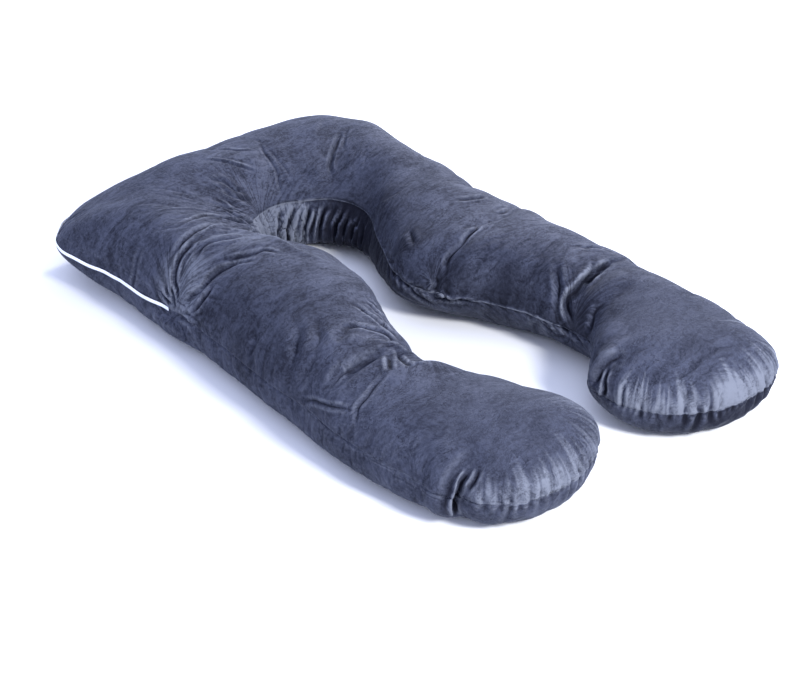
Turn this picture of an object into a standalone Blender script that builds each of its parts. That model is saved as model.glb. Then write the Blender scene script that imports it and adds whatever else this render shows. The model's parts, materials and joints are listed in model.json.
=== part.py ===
"""Body pillow: a U-shaped filled cushion lying flat, with the zip in the seam of its cover.

Metres, +Z up. The pillow lies on z = 0 with its head towards +Y and its two feet
towards -Y, and the origin is under the middle of its bounding box.
"""

import math

import bmesh
import bpy
import numpy as np

# Driving sizes, in metres.
STEP_ALONG = 0.019  # between the sections, along the pillow
STEP_PLEATED = 0.0078  # the same, along the pleated inner wall under the head
TIP_STEPS = 8  # sections between a foot's tip and the table's next row
TIP_CROWDING = 1.8  # how closely they crowd towards the tip: 1 is evenly
STEPS_TOP = 16  # points round a section, over the crown
STEPS_UNDER = 12  # and round its underside
NOSE_LENGTH = 0.17  # over which a foot comes up from its tip to full height
NOSE_ROUND = 2.3  # exponent of that rise: 2 is an ellipse, more is squarer
KEEL_LENGTH = 0.12  # over which the underside comes down to the floor
KEEL_ROUND = 2.9
FLOOR_SINK = 0.007  # how far the weight presses the underside flat against the floor

SEAM_LIP = 0.004  # from the seam to where each panel starts to swell
SEAM_DRAW = 0.005  # how far the stitching draws the seam in
FOLD_SHOULDER = 0.35  # height of the rolls beside a fold, as a share of its depth
FOLD_FADE = 0.30  # share of its length over which a fold fades out at each end
FOLD_EDGE = 0.006  # and the height over which it stops at its low and its high
SWELL_FROM, SWELL_FULL = 0.02, 0.08  # heights between which the filling's swells set in

PLEAT_ROWS = (9.6, 18.4)  # rows of the section table between which the inner wall is pleated
PLEAT_PITCH = 0.030
PLEAT_DEPTH = 0.0028
PLEAT_DRIFT = 0.35  # how far, in pitches, the pleats stray from even spacing
PLEAT_DRIFT_LENGTH = 0.19

ZIP_WIDTH = 0.0076
ZIP_THICKNESS = 0.0016
ZIP_GAP = 0.0003
ZIP_ROWS = (9.05, 12.6)  # rows of the section table between which the zip lies

# The pillow's sections, from the tip of one foot round the head to the tip of the other.
# Each runs from a point on the inner seam to one on the outer seam. crown is its highest
# point, outer_z and inner_z the height of the seams. The shoulders and keels are the
# exponents of its upper and lower corners, and a belly is how far the lower panel swells
# past the seam.
SECTION_COLUMNS = (
    "outer_x", "outer_y", "inner_x", "inner_y", "crown", "outer_z", "inner_z",
    "outer_shoulder", "inner_shoulder", "outer_keel", "inner_keel", "outer_belly", "inner_belly",
)
SECTIONS = (
    (-0.205, -0.664, -0.205, -0.664, 0.150, 0.072, 0.072, 2.25, 2.25, 2.3, 2.3, 0.000, 0.000),
    (-0.305, -0.627, -0.110, -0.652, 0.150, 0.072, 0.068, 2.25, 2.25, 2.6, 2.3, 0.000, 0.000),
    (-0.355, -0.562, -0.048, -0.602, 0.155, 0.075, 0.070, 2.25, 2.25, 2.8, 2.3, 0.000, 0.000),
    (-0.382, -0.470, -0.030, -0.515, 0.158, 0.085, 0.075, 2.25, 2.25, 3.0, 2.3, 0.000, 0.000),
    (-0.396, -0.380, -0.072, -0.400, 0.162, 0.090, 0.080, 2.25, 2.25, 3.2, 2.2, 0.002, 0.000),
    (-0.402, -0.270, -0.155, -0.290, 0.176, 0.090, 0.085, 2.25, 2.25, 3.2, 2.2, 0.004, 0.000),
    (-0.402, -0.140, -0.122, -0.150, 0.195, 0.090, 0.090, 2.25, 2.20, 3.2, 2.2, 0.004, 0.000),
    (-0.395, 0.000, -0.062, 0.000, 0.203, 0.090, 0.095, 2.25, 2.20, 3.2, 2.2, 0.004, 0.000),
    (-0.393, 0.120, -0.060, 0.130, 0.203, 0.090, 0.100, 2.25, 2.10, 3.2, 2.4, 0.010, 0.005),
    (-0.385, 0.230, -0.115, 0.220, 0.196, 0.085, 0.105, 2.20, 2.00, 3.2, 3.0, 0.022, 0.010),
    (-0.390, 0.380, -0.142, 0.290, 0.200, 0.085, 0.112, 2.00, 1.70, 2.6, 4.0, 0.014, 0.030),
    (-0.417, 0.625, -0.110, 0.350, 0.190, 0.084, 0.115, 1.45, 1.50, 1.4, 5.0, 0.000, 0.038),
    (-0.368, 0.678, -0.070, 0.378, 0.190, 0.085, 0.115, 1.45, 1.45, 1.5, 5.0, 0.000, 0.038),
    (-0.190, 0.692, -0.025, 0.392, 0.194, 0.095, 0.115, 1.70, 1.40, 2.8, 5.0, 0.004, 0.038),
    (0.020, 0.700, 0.025, 0.392, 0.196, 0.100, 0.115, 1.85, 1.40, 2.8, 5.0, 0.004, 0.038),
    (0.210, 0.690, 0.075, 0.375, 0.197, 0.095, 0.115, 1.85, 1.40, 2.8, 5.0, 0.004, 0.038),
    (0.350, 0.665, 0.115, 0.342, 0.198, 0.085, 0.115, 1.70, 1.45, 2.6, 5.0, 0.004, 0.038),
    (0.398, 0.560, 0.140, 0.290, 0.198, 0.080, 0.112, 1.80, 1.55, 2.6, 4.0, 0.004, 0.038),
    (0.390, 0.380, 0.136, 0.230, 0.193, 0.085, 0.108, 2.05, 1.75, 3.0, 3.0, 0.004, 0.030),
    (0.385, 0.220, 0.100, 0.150, 0.188, 0.085, 0.102, 2.10, 2.00, 3.2, 2.4, 0.004, 0.020),
    (0.383, 0.080, 0.048, 0.050, 0.188, 0.090, 0.100, 2.10, 2.25, 3.2, 2.0, 0.004, 0.006),
    (0.385, -0.060, 0.033, -0.060, 0.188, 0.090, 0.095, 2.15, 2.35, 3.2, 1.9, 0.004, 0.000),
    (0.388, -0.180, 0.105, -0.170, 0.190, 0.090, 0.090, 2.15, 2.35, 3.2, 1.9, 0.004, 0.000),
    (0.395, -0.300, 0.150, -0.285, 0.178, 0.090, 0.088, 2.15, 2.35, 3.2, 1.9, 0.004, 0.000),
    (0.408, -0.400, 0.158, -0.390, 0.168, 0.085, 0.082, 2.20, 2.30, 3.2, 2.0, 0.002, 0.000),
    (0.424, -0.495, 0.075, -0.475, 0.168, 0.080, 0.076, 2.25, 2.25, 3.0, 2.2, 0.000, 0.000),
    (0.424, -0.588, 0.058, -0.570, 0.160, 0.075, 0.072, 2.25, 2.25, 2.8, 2.4, 0.000, 0.000),
    (0.382, -0.670, 0.110, -0.648, 0.150, 0.072, 0.072, 2.25, 2.25, 2.6, 2.5, 0.000, 0.000),
    (0.255, -0.706, 0.255, -0.706, 0.150, 0.072, 0.072, 2.25, 2.25, 2.5, 2.5, 0.000, 0.000),
)

# The main folds of the cover, each along its own line in plan. width is half the width of
# its trough. depth is how far it goes in, or out where it is negative. low and high are the
# heights that it keeps between, so a fold of the top panel stops at the seam.
FOLD_COLUMNS = ("name", "width", "depth", "low", "high", "line")
FOLDS = (
    ("near foot crease", 0.016, 0.012, 0.010, 0.160, ((-0.285, -0.535), (-0.330, -0.568), (-0.385, -0.580))),
    ("near foot ridge", 0.015, -0.005, 0.010, 0.160, ((-0.300, -0.505), (-0.340, -0.530), (-0.395, -0.540))),
    ("near foot second", 0.012, 0.005, 0.060, 0.160, ((-0.285, -0.560), (-0.335, -0.595))),
    ("tuft lower arc", 0.013, 0.011, 0.085, 0.230,
     ((-0.400, 0.222), (-0.384, 0.190), (-0.368, 0.165), (-0.317, 0.155), (-0.230, 0.134), (-0.200, 0.120))),
    ("tuft upper arc", 0.013, 0.008, 0.085, 0.230,
     ((-0.400, 0.226), (-0.378, 0.222), (-0.360, 0.235), (-0.330, 0.247), (-0.270, 0.260), (-0.200, 0.262))),
    ("tuft", 0.020, 0.010, 0.050, 0.130, ((-0.410, 0.226), (-0.375, 0.226))),
    ("hollow corner fold", 0.014, 0.009, 0.090, 0.230, ((-0.060, 0.385), (-0.105, 0.405), (-0.150, 0.435))),
    ("hollow corner roll", 0.016, -0.008, 0.090, 0.230, ((-0.085, 0.355), (-0.130, 0.330), (-0.165, 0.265))),
    ("near notch fold", 0.016, 0.014, 0.060, 0.230, ((-0.140, -0.285), (-0.195, -0.245), (-0.240, -0.160))),
    ("near notch tuck", 0.013, 0.009, 0.060, 0.230, ((-0.140, -0.295), (-0.200, -0.300), (-0.255, -0.275))),
    ("near calf curve", 0.013, 0.007, 0.090, 0.230, ((-0.375, -0.255), (-0.330, -0.270), (-0.250, -0.262))),
    ("far belly fold", 0.015, 0.011, 0.085, 0.230,
     ((0.215, -0.045), (0.127, -0.069), (0.070, -0.083), (0.030, -0.075))),
    ("far thigh fold", 0.014, 0.009, 0.085, 0.230, ((0.225, -0.245), (0.180, -0.282), (0.150, -0.318))),
    ("far notch deep fold", 0.020, 0.022, 0.070, 0.230,
     ((0.320, -0.335), (0.262, -0.315), (0.215, -0.322), (0.175, -0.335), (0.145, -0.360))),
    ("far notch second", 0.014, 0.010, 0.070, 0.230, ((0.225, -0.375), (0.180, -0.385), (0.145, -0.390))),
    ("far foot corner roll", 0.015, -0.008, 0.060, 0.230, ((0.130, -0.515), (0.075, -0.482))),
    ("far foot corner tuck", 0.013, 0.009, 0.060, 0.160, ((0.125, -0.545), (0.055, -0.515))),
    ("head cross fold", 0.015, 0.006, 0.085, 0.230, ((0.260, 0.480), (0.165, 0.400), (0.125, 0.350))),
    ("head middle fold", 0.015, 0.004, 0.085, 0.230, ((0.085, 0.560), (0.050, 0.470), (0.022, 0.385))),
    ("far outer dent upper", 0.022, 0.007, 0.060, 0.230, ((0.320, 0.140), (0.400, 0.105))),
    ("far outer dent lower", 0.022, 0.008, 0.060, 0.230, ((0.320, -0.010), (0.400, -0.045))),
    ("head back dent", 0.022, 0.006, 0.060, 0.230, ((0.080, 0.600), (0.105, 0.705))),
)

# Slow swells of the filling over the whole surface: how high each is, its length along x and
# along y, and where its wave starts.
SWELL_COLUMNS = ("height", "length_x", "length_y", "start")
SWELLS = (
    (0.0022, 0.31, 0.23, 0.4),
    (0.0018, -0.19, 0.27, 2.1),
    (0.0014, 0.15, -0.13, 4.4),
)


def clear_scene():
    for thing in list(bpy.data.objects):
        bpy.data.objects.remove(thing, do_unlink=True)


def smooth_run(knots, runs, even=False):
    """Points on a smooth curve through knots[1:-1], at each share in runs[i] of its stretch i.

    The first and last knots only steer the curve's ends. With even set, each stretch counts as
    one unit long, which suits columns that aren't places.
    """
    steps = np.diff(knots, axis=0)
    chords = np.ones(len(steps)) if even else np.maximum(np.linalg.norm(steps, axis=1), 1e-6)
    ways = steps / chords[:, None]
    before, after = chords[:-1, None], chords[1:, None]
    tangents = (ways[:-1] * after + ways[1:] * before) / (before + after)
    points = []
    for i, shares in enumerate(runs):
        start, end, chord = knots[i + 1], knots[i + 2], chords[i + 1]
        for t in shares:
            ends = start * (1 + 2 * t) * (1 - t) ** 2 + end * t * t * (3 - 2 * t)
            slopes = tangents[i] * t * (1 - t) ** 2 - tangents[i + 1] * t * t * (1 - t)
            points.append(ends + slopes * chord)
    return np.array(points)


def stretch_shares(table):
    """Where the sections between two rows of the table lie, from 0 to 1, closer near the tips."""
    outer, inner = (np.linalg.norm(np.diff(table[:, i : i + 2], axis=0), axis=1) for i in (0, 2))
    middle = np.arange(len(outer)) + 0.5
    pleated = (middle > PLEAT_ROWS[0]) & (middle < PLEAT_ROWS[1])
    fine = np.where(pleated, inner / STEP_PLEATED, 0)
    counts = np.maximum(np.round(np.maximum((outer + inner) / 2 / STEP_ALONG, fine)), 3).astype(int)
    runs = [np.arange(count) / count for count in counts]
    runs[0] = (np.arange(1, TIP_STEPS) / TIP_STEPS) ** TIP_CROWDING
    runs[-1] = 1 - (np.arange(TIP_STEPS, 0, -1) / TIP_STEPS) ** TIP_CROWDING
    return runs


def sections():
    """Every section's outer end, inner end, other columns, and its place in the table's rows."""
    table = np.array(SECTIONS)
    runs = stretch_shares(table)
    outer, inner, rest = table[:, 0:2], table[:, 2:4], table[:, 4:]
    return (
        smooth_run(np.vstack([inner[1], outer, inner[-2]]), runs),
        smooth_run(np.vstack([outer[1], inner, outer[-2]]), runs),
        smooth_run(np.vstack([rest[0], rest, rest[-1]]), runs, even=True),
        np.concatenate([i + run for i, run in enumerate(runs)]),
    )


def ease(value, low, high):
    """0 up to low and 1 from high on, smooth between."""
    share = np.clip((value - low) / (high - low), 0, 1)
    return share * share * (3 - 2 * share)


def rise(distance, length, exponent):
    """0 at a foot's tip, rounding up to 1 at this distance from it."""
    share = np.clip(distance / length, 0, 1)
    return (1 - (1 - share) ** exponent) ** (1 / exponent)


class Frame:
    """The sections worked out: their middles, half widths and how far each foot has swelled."""

    def __init__(self):
        self.outer, self.inner, rest, self.row = sections()
        names = SECTION_COLUMNS[4:]
        self.column = {name: rest[:, i] for i, name in enumerate(names)}
        self.middle = (self.outer + self.inner) / 2
        self.half = (self.outer - self.inner) / 2
        self.out = self.half / np.maximum(np.linalg.norm(self.half, axis=1), 1e-6)[:, None]
        tips = np.array([SECTIONS[0][:2], SECTIONS[-1][:2]])
        from_tip = np.min(np.linalg.norm(self.middle[:, None] - tips[None], axis=2), axis=1)
        self.swell = rise(from_tip, NOSE_LENGTH, NOSE_ROUND)
        self.keel = rise(from_tip, KEEL_LENGTH, KEEL_ROUND)
        self.lip = SEAM_LIP * self.swell

    def seam_z(self, across):
        low, high = self.column["inner_z"], self.column["outer_z"]
        return low + (high - low) * (across + 1) / 2

    def place(self, across, out, z):
        """Points this share across the sections, moved out along them, at this height."""
        plan = self.middle + self.half * across[:, None] + self.out * out[:, None]
        return np.column_stack([plan, z])

    def top(self, angle):
        """The top panel's points at this angle: -90 degrees at the inner seam, 90 at the outer."""
        across, up = math.sin(angle), max(math.cos(angle), 0.0)
        power = self.column["outer_shoulder" if across > 0 else "inner_shoulder"]
        u = np.sign(across) * abs(across) ** (2 / power)
        start = self.seam_z(u) + self.lip
        z = start + (self.column["crown"] - start) * up ** (2 / power) * self.swell
        return self.place(u, np.zeros(len(u)), z)

    def under(self, angle):
        """The lower panel's points at this angle, swelling past the seam and flat on the floor."""
        across, up = math.sin(angle), max(math.cos(angle), 0.0)
        side = "outer" if across > 0 else "inner"
        power = self.column[side + "_keel"]
        u = np.sign(across) * abs(across) ** (2 / power)
        drop = up ** (2 / power) * self.keel
        start = self.seam_z(u) - self.lip
        z = start - (start + FLOOR_SINK) * drop
        out = np.sign(across) * self.column[side + "_belly"] * abs(u) * 6.75 * drop**2 * (1 - drop)
        return self.place(u, out, z)

    def seam(self, across, draw):
        """The stitched line itself, drawn in between the two panels' lips."""
        u = np.full(len(self.row), float(across))
        return self.place(u, -across * draw * self.swell, self.seam_z(u))


def outer_draw(frame):
    """How far the outer seam is drawn in: not at all along the zip, which lies on the seam."""
    first, last = ZIP_ROWS
    beside = np.maximum(first - frame.row, frame.row - last)
    return SEAM_DRAW * ease(beside, 0, 0.3)


def line_distance(points, line):
    """Each point's distance in plan from a line, and its share of the way along it."""
    line = np.array(line)
    steps = np.linalg.norm(np.diff(line, axis=0), axis=1)
    done = np.concatenate([[0], np.cumsum(steps)])
    nearest = np.full(len(points), np.inf)
    along = np.zeros(len(points))
    for start, end, length, before in zip(line, line[1:], steps, done):
        share = np.clip((points[:, :2] - start) @ (end - start) / length**2, 0, 1)
        distance = np.linalg.norm(points[:, :2] - start - share[:, None] * (end - start), axis=1)
        closer = distance < nearest
        nearest = np.where(closer, distance, nearest)
        along = np.where(closer, (before + share * length) / done[-1], along)
    return nearest, along


def fold_push(points):
    """How far each point moves out of the surface, from the folds and the filling's swells."""
    push = np.zeros(len(points))
    height = points[:, 2]
    for fold in (dict(zip(FOLD_COLUMNS, row)) for row in FOLDS):
        distance, along = line_distance(points, fold["line"])
        width = fold["width"]
        trough = np.exp(-((distance / width) ** 2))
        rolls = np.exp(-(((distance - 2 * width) / width) ** 2))
        ends = ease(along, -0.05, FOLD_FADE) * ease(1 - along, -0.05, FOLD_FADE)
        above = ease(height, fold["low"] - FOLD_EDGE, fold["low"] + FOLD_EDGE)
        below = 1 - ease(height, fold["high"] - FOLD_EDGE, fold["high"] + FOLD_EDGE)
        push -= fold["depth"] * (trough - FOLD_SHOULDER * rolls) * ends * above * below
    for swell in (dict(zip(SWELL_COLUMNS, row)) for row in SWELLS):
        wave = points[:, 0] / swell["length_x"] + points[:, 1] / swell["length_y"]
        lift = swell["height"] * np.sin(2 * math.pi * wave + swell["start"])
        push += lift * ease(height, SWELL_FROM, SWELL_FULL)
    return push


def pleat_push(frame, points):
    """The pleats of the inner wall under the head, gathered where the seam turns."""
    steps = np.linalg.norm(np.diff(frame.inner, axis=0), axis=1)
    run = np.concatenate([[0], np.cumsum(steps)])
    drift = PLEAT_DRIFT * np.sin(2 * math.pi * run / PLEAT_DRIFT_LENGTH)
    wave = PLEAT_DEPTH * np.sin(2 * math.pi * (run / PLEAT_PITCH + drift))
    first, last = PLEAT_ROWS
    wave *= ease(frame.row, first - 0.5, first + 0.5) * (1 - ease(frame.row, last - 0.5, last + 0.5))
    height = points[..., 2]
    seam = frame.column["inner_z"][:, None]
    return wave[:, None] * ease(height, 0.005, 0.02) * ease(seam - height, 0.0, 0.02)


def surface(frame):
    """The pillow's points as sections by points round each, with the folds in them."""
    top = [frame.top(a) for a in np.linspace(-math.pi / 2, math.pi / 2, STEPS_TOP)]
    under = [frame.under(a) for a in np.linspace(math.pi / 2, -math.pi / 2, STEPS_UNDER)]
    inner_draw = np.full(len(frame.row), SEAM_DRAW)
    rings = top + [frame.seam(1, outer_draw(frame))] + under + [frame.seam(-1, inner_draw)]
    points = np.stack(rings, axis=1)
    along = np.gradient(points, axis=0)
    around = np.roll(points, -1, axis=1) - np.roll(points, 1, axis=1)
    normals = np.cross(along, around)
    normals /= np.maximum(np.linalg.norm(normals, axis=2), 1e-9)[..., None]
    push = fold_push(points.reshape(-1, 3)).reshape(points.shape[:2])
    push *= frame.swell[:, None]
    inner_wall = slice(STEPS_TOP + 1 + STEPS_UNDER // 2, None)
    push[:, inner_wall] += pleat_push(frame, points[:, inner_wall])
    first, last = ZIP_ROWS
    beside_zip = (frame.row > first - 0.4) & (frame.row < last + 0.4)
    push[np.ix_(beside_zip, [STEPS_TOP - 1, STEPS_TOP, STEPS_TOP + 1])] = 0
    points = points + normals * push[..., None]
    points[..., 2] = np.maximum(points[..., 2], 0)
    return points


def ring_mesh(name, rings, ends):
    """A closed mesh from rings of points, each end closed by a fan to the point given for it."""
    mesh = bmesh.new()
    loops = [[mesh.verts.new(point) for point in ring] for ring in rings]
    for loop, following in zip(loops, loops[1:]):
        for i in range(len(loop)):
            j = (i + 1) % len(loop)
            mesh.faces.new((loop[i], loop[j], following[j], following[i]))
    for loop, end in ((loops[0], ends[0]), (loops[-1], ends[1])):
        tip = mesh.verts.new(end)
        for i in range(len(loop)):
            mesh.faces.new((loop[i], loop[(i + 1) % len(loop)], tip))
    bmesh.ops.recalc_face_normals(mesh, faces=mesh.faces)
    data = bpy.data.meshes.new(name)
    mesh.to_mesh(data)
    mesh.free()
    data.shade_smooth()
    return data


def zip_rings(frame):
    """The zip's four corners at each section that it passes, flat on the seam, 0.3 mm off it."""
    first, last = ZIP_ROWS
    on = (frame.row >= first) & (frame.row <= last)
    u = np.ones(len(frame.row))
    rings = []
    for out, up in ((0, -1), (0, 1), (1, 1), (1, -1)):
        away = np.full(len(u), ZIP_GAP + out * ZIP_THICKNESS)
        z = frame.seam_z(u) + up * ZIP_WIDTH / 2
        rings.append(frame.place(u, away, z)[on])
    return np.stack(rings, axis=1)


def material(name, colour, roughness, sheen=0.0):
    made = bpy.data.materials.new(name)
    made.use_nodes = True
    shader = made.node_tree.nodes["Principled BSDF"]
    shader.inputs["Base Color"].default_value = (*colour, 1)
    shader.inputs["Roughness"].default_value = roughness
    shader.inputs["Metallic"].default_value = 0.0
    shader.inputs["Sheen Weight"].default_value = sheen
    made.diffuse_color = (*colour, 1)
    return made


def add_piece(name, data, look):
    piece = bpy.data.objects.new(name, data)
    piece.data.materials.append(look)
    bpy.context.collection.objects.link(piece)
    return piece


def centred(shapes):
    """The shapes moved so that the origin is under the middle of their bounding box."""
    points = np.vstack([shape.reshape(-1, 3) for shape in shapes])
    middle = (points.min(axis=0) + points.max(axis=0)) / 2
    return [shape - (middle[0], middle[1], 0) for shape in shapes]


def build():
    clear_scene()
    frame = Frame()
    tips = np.array([(row[0], row[1], row[5]) for row in (SECTIONS[0], SECTIONS[-1])])
    cushion, tips, strip = centred([surface(frame), tips, zip_rings(frame)])
    velvet = material("velvet", (0.075, 0.085, 0.135), 0.8, sheen=0.6)
    white_tape = material("white tape", (0.80, 0.83, 0.90), 0.6)
    add_piece("pillow", ring_mesh("pillow", cushion, tips), velvet)
    add_piece("zip", ring_mesh("zip", strip, [strip[0].mean(axis=0), strip[-1].mean(axis=0)]), white_tape)


build()
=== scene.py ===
# %% [markdown]
# # A velvet body pillow
#
# The pillow lies flat: a U of filled velvet with a white zip in its seam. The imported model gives
# the shape of the filled cushion, and this file dresses it. A cover is cut from that shape and
# filled with air by Blender's cloth solver, the folds are pressed in, and the velvet, the
# zip, the floor and the light follow. Lengths are in metres, but the long tables of places are
# in millimetres. +Z is up, the head of the U points to +Y and its two feet to -Y.

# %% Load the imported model
import json
import math

import bmesh
import bpy
import numpy as np
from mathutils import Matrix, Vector, kdtree, noise

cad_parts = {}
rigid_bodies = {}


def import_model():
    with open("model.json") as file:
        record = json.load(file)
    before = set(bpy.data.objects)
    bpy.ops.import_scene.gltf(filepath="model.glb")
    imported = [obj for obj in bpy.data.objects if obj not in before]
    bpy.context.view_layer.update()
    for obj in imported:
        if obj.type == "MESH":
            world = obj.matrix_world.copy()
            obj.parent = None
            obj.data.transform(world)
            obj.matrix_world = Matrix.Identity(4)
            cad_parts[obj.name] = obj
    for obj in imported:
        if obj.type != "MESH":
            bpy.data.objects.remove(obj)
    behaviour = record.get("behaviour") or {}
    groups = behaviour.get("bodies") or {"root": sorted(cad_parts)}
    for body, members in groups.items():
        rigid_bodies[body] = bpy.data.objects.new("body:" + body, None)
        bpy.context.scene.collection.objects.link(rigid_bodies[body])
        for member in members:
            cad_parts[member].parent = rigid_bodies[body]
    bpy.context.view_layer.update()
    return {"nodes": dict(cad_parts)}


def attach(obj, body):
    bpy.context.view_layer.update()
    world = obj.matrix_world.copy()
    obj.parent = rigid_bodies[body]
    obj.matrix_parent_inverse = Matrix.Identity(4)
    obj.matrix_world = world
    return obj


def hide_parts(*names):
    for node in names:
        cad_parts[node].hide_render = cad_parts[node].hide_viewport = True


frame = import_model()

MM = 1000  # the tables' millimetres in a metre
for leftover in [thing for thing in bpy.data.objects if thing.name == "Cube"]:
    bpy.data.objects.remove(leftover)  # Blender's own startup cube, where there is one


def deselect():
    bpy.ops.object.select_all(action="DESELECT")


def work_on(piece):
    """Selects this piece alone and makes it the active one, so that operators act on it."""
    deselect()
    piece.select_set(True)
    bpy.context.view_layer.objects.active = piece


def apply_modifiers(piece):
    """Makes the result of the piece's modifiers its mesh, from the first to the last."""
    work_on(piece)
    for modifier in list(piece.modifiers):
        bpy.ops.object.modifier_apply(modifier=modifier.name)


deselect()

# %% [markdown]
# ## The camera
#
# The pillow is seen from its feet's end and from the left, a little over half way down to the
# floor. A long lens keeps the two legs nearly parallel. The camera stands this far from the
# point that it looks at, turned by the azimuth (0 looks along +Y) and raised by the elevation.

# %% Camera
AZIMUTH, ELEVATION, DISTANCE = math.radians(40.9), math.radians(33.2), 3.204
LOOKS_AT = Vector((-0.0248, -0.0506, 0.0))
LENS = 70.8

ahead = Vector((
    math.sin(AZIMUTH) * math.cos(ELEVATION),
    math.cos(AZIMUTH) * math.cos(ELEVATION),
    -math.sin(ELEVATION),
))
bpy.ops.object.camera_add(
    location=LOOKS_AT - ahead * DISTANCE,
    rotation=(math.pi / 2 - ELEVATION, 0, -AZIMUTH),
)
camera = bpy.context.object
camera.data.lens = LENS
bpy.context.scene.camera = camera
print("camera at", tuple(round(x, 3) for x in camera.location))

# %% [markdown]
# ## Floor and light
#
# A white studio floor, lit so brightly that it has no edge, with a soft lamp beyond the feet
# that shines on their ends, a second one past the far side of the head, and a bluish sky that
# fills the shadows. The velvet is dark, so its shape shows only in the light that it throws
# back, which is why both lamps are wide and stand low.

# %% Floor and light
SKY_COLOUR, SKY_STRENGTH = (0.65, 0.72, 1.0), 1.8
# name, place, what it points at, width, power in watts, colour
LAMPS = (
    ("front light", (0.0, -2.62, 1.84), (0.0, 0.0, 0.0), 0.55, 125.0, (0.97, 0.98, 1.0)),
    ("side light", (2.38, 1.37, 1.65), (0.0, 0.0, 0.0), 0.55, 90.0, (1.0, 0.99, 0.98)),
)


def new_material(name, values):
    """A material with these values on its shader, its node tree and the shader's inputs."""
    material = bpy.data.materials.new(name)
    material.use_nodes = True
    inputs = material.node_tree.nodes["Principled BSDF"].inputs
    for label, value in values.items():
        inputs[label].default_value = value
    return material, material.node_tree, inputs


bpy.ops.mesh.primitive_grid_add(x_subdivisions=2, y_subdivisions=2, size=16)
floor = bpy.context.object
floor.name = "floor"

for name, place, aim, width, power, colour in LAMPS:
    turn = (Vector(aim) - Vector(place)).to_track_quat("-Z", "Y").to_euler()
    bpy.ops.object.light_add(type="AREA", location=place, rotation=turn)
    lamp = bpy.context.object
    lamp.name = name
    lamp.data.size = width
    lamp.data.energy = power
    lamp.data.color = colour

world = bpy.data.worlds.new("studio")
bpy.context.scene.world = world
world.use_nodes = True
background = world.node_tree.nodes["Background"]
background.inputs["Color"].default_value = (*SKY_COLOUR, 1)
background.inputs["Strength"].default_value = SKY_STRENGTH
bpy.context.scene.view_settings.view_transform = "Standard"

paper = new_material("white floor", {"Base Color": (0.74, 0.74, 0.74, 1), "Roughness": 0.9})
floor.data.materials.append(paper[0])
print("lamps:", [lamp[0] for lamp in LAMPS])

# %% [markdown]
# ## Where the seam runs
#
# The cover is two panels, an upper and a lower one, sewn together all round. The seam is the
# one line that everything else hangs on: the panels swell away from it, its stitching gathers
# the cloth, and the zip lies in it. Each row of the table is a cross-section of the pillow,
# from the tip of the near foot, up the leg, round the head and down to the tip of the far
# foot, with the place of the seam on the outside of the U and on its inside.

# %% The seam's course
SEAM_ROWS = (  # outer x, y, z, inner x, y, z, in millimetres
    (-205, -664, 72, -205, -664, 72), (-305, -627, 72, -110, -652, 68),
    (-355, -562, 75, -48, -602, 70), (-382, -470, 85, -30, -515, 75),
    (-396, -380, 90, -72, -400, 80), (-402, -270, 90, -155, -290, 85),
    (-402, -140, 90, -122, -150, 90), (-395, 0, 90, -62, 0, 95),
    (-393, 120, 90, -60, 130, 100), (-385, 230, 85, -115, 220, 105),
    (-390, 380, 85, -142, 290, 112), (-417, 625, 84, -110, 350, 115),
    (-368, 678, 85, -70, 378, 115), (-190, 692, 95, -25, 392, 115),
    (20, 700, 100, 25, 392, 115), (210, 690, 95, 75, 375, 115),
    (350, 665, 85, 115, 342, 115), (398, 560, 80, 140, 290, 112),
    (390, 380, 85, 136, 230, 108), (385, 220, 85, 100, 150, 102),
    (383, 80, 90, 48, 50, 100), (385, -60, 90, 33, -60, 95),
    (388, -180, 90, 105, -170, 90), (395, -300, 90, 150, -285, 88),
    (408, -400, 85, 158, -390, 82), (424, -495, 80, 75, -475, 76),
    (424, -588, 75, 58, -570, 72), (382, -670, 72, 110, -648, 72),
    (255, -706, 72, 255, -706, 72),
)
PATH_STEPS = 16  # points on each stretch between two rows


def smooth_path(knots):
    """Points on a smooth curve through the knots, its tangents weighed by the stretches' lengths."""
    knots = np.array(knots)
    knots = np.vstack([2 * knots[0] - knots[1], knots, 2 * knots[-1] - knots[-2]])
    steps = np.diff(knots, axis=0)
    chords = np.linalg.norm(steps, axis=1)[:, None]
    ways = steps / chords
    tangents = (ways[:-1] * chords[1:] + ways[1:] * chords[:-1]) / (chords[:-1] + chords[1:])
    points = []
    for i in range(len(knots) - 3):
        t = (np.arange(PATH_STEPS) / PATH_STEPS)[:, None]
        ends = knots[i + 1] * (1 + 2 * t) * (1 - t) ** 2 + knots[i + 2] * t * t * (3 - 2 * t)
        slopes = tangents[i] * t * (1 - t) ** 2 - tangents[i + 1] * t * t * (1 - t)
        points.append(ends + slopes * chords[i + 1])
    return np.vstack([*points, knots[-2]])


def run_of(path):
    """The distance along a path at each of its points."""
    return np.concatenate([[0], np.cumsum(np.linalg.norm(np.diff(path, axis=0), axis=1))])


cad = frame["nodes"]["pillow"]
cad_points = np.array([v.co for v in cad.data.vertices])
table = np.array(SEAM_ROWS) / MM
tip = table[0, :3]
shift = cad_points[np.argmin(np.linalg.norm(cad_points - tip, axis=1))] - tip
shift[2] = 0
table = table + np.concatenate([shift, shift])
OUTER, INNER = smooth_path(table[:, :3]), smooth_path(table[:, 3:])
print("outer seam", round(run_of(OUTER)[-1], 2), "m, inner seam", round(run_of(INNER)[-1], 2), "m")

# %% [markdown]
# ## The cover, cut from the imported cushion
#
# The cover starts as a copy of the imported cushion's mesh. Its loose triangles are merged and
# paired up into four-sided faces, because quads subdivide evenly and carry cloth folds better
# than triangles. The edges along the seam get a full crease, so that subdividing rounds the
# panels and keeps the stitched line sharp.

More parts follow.
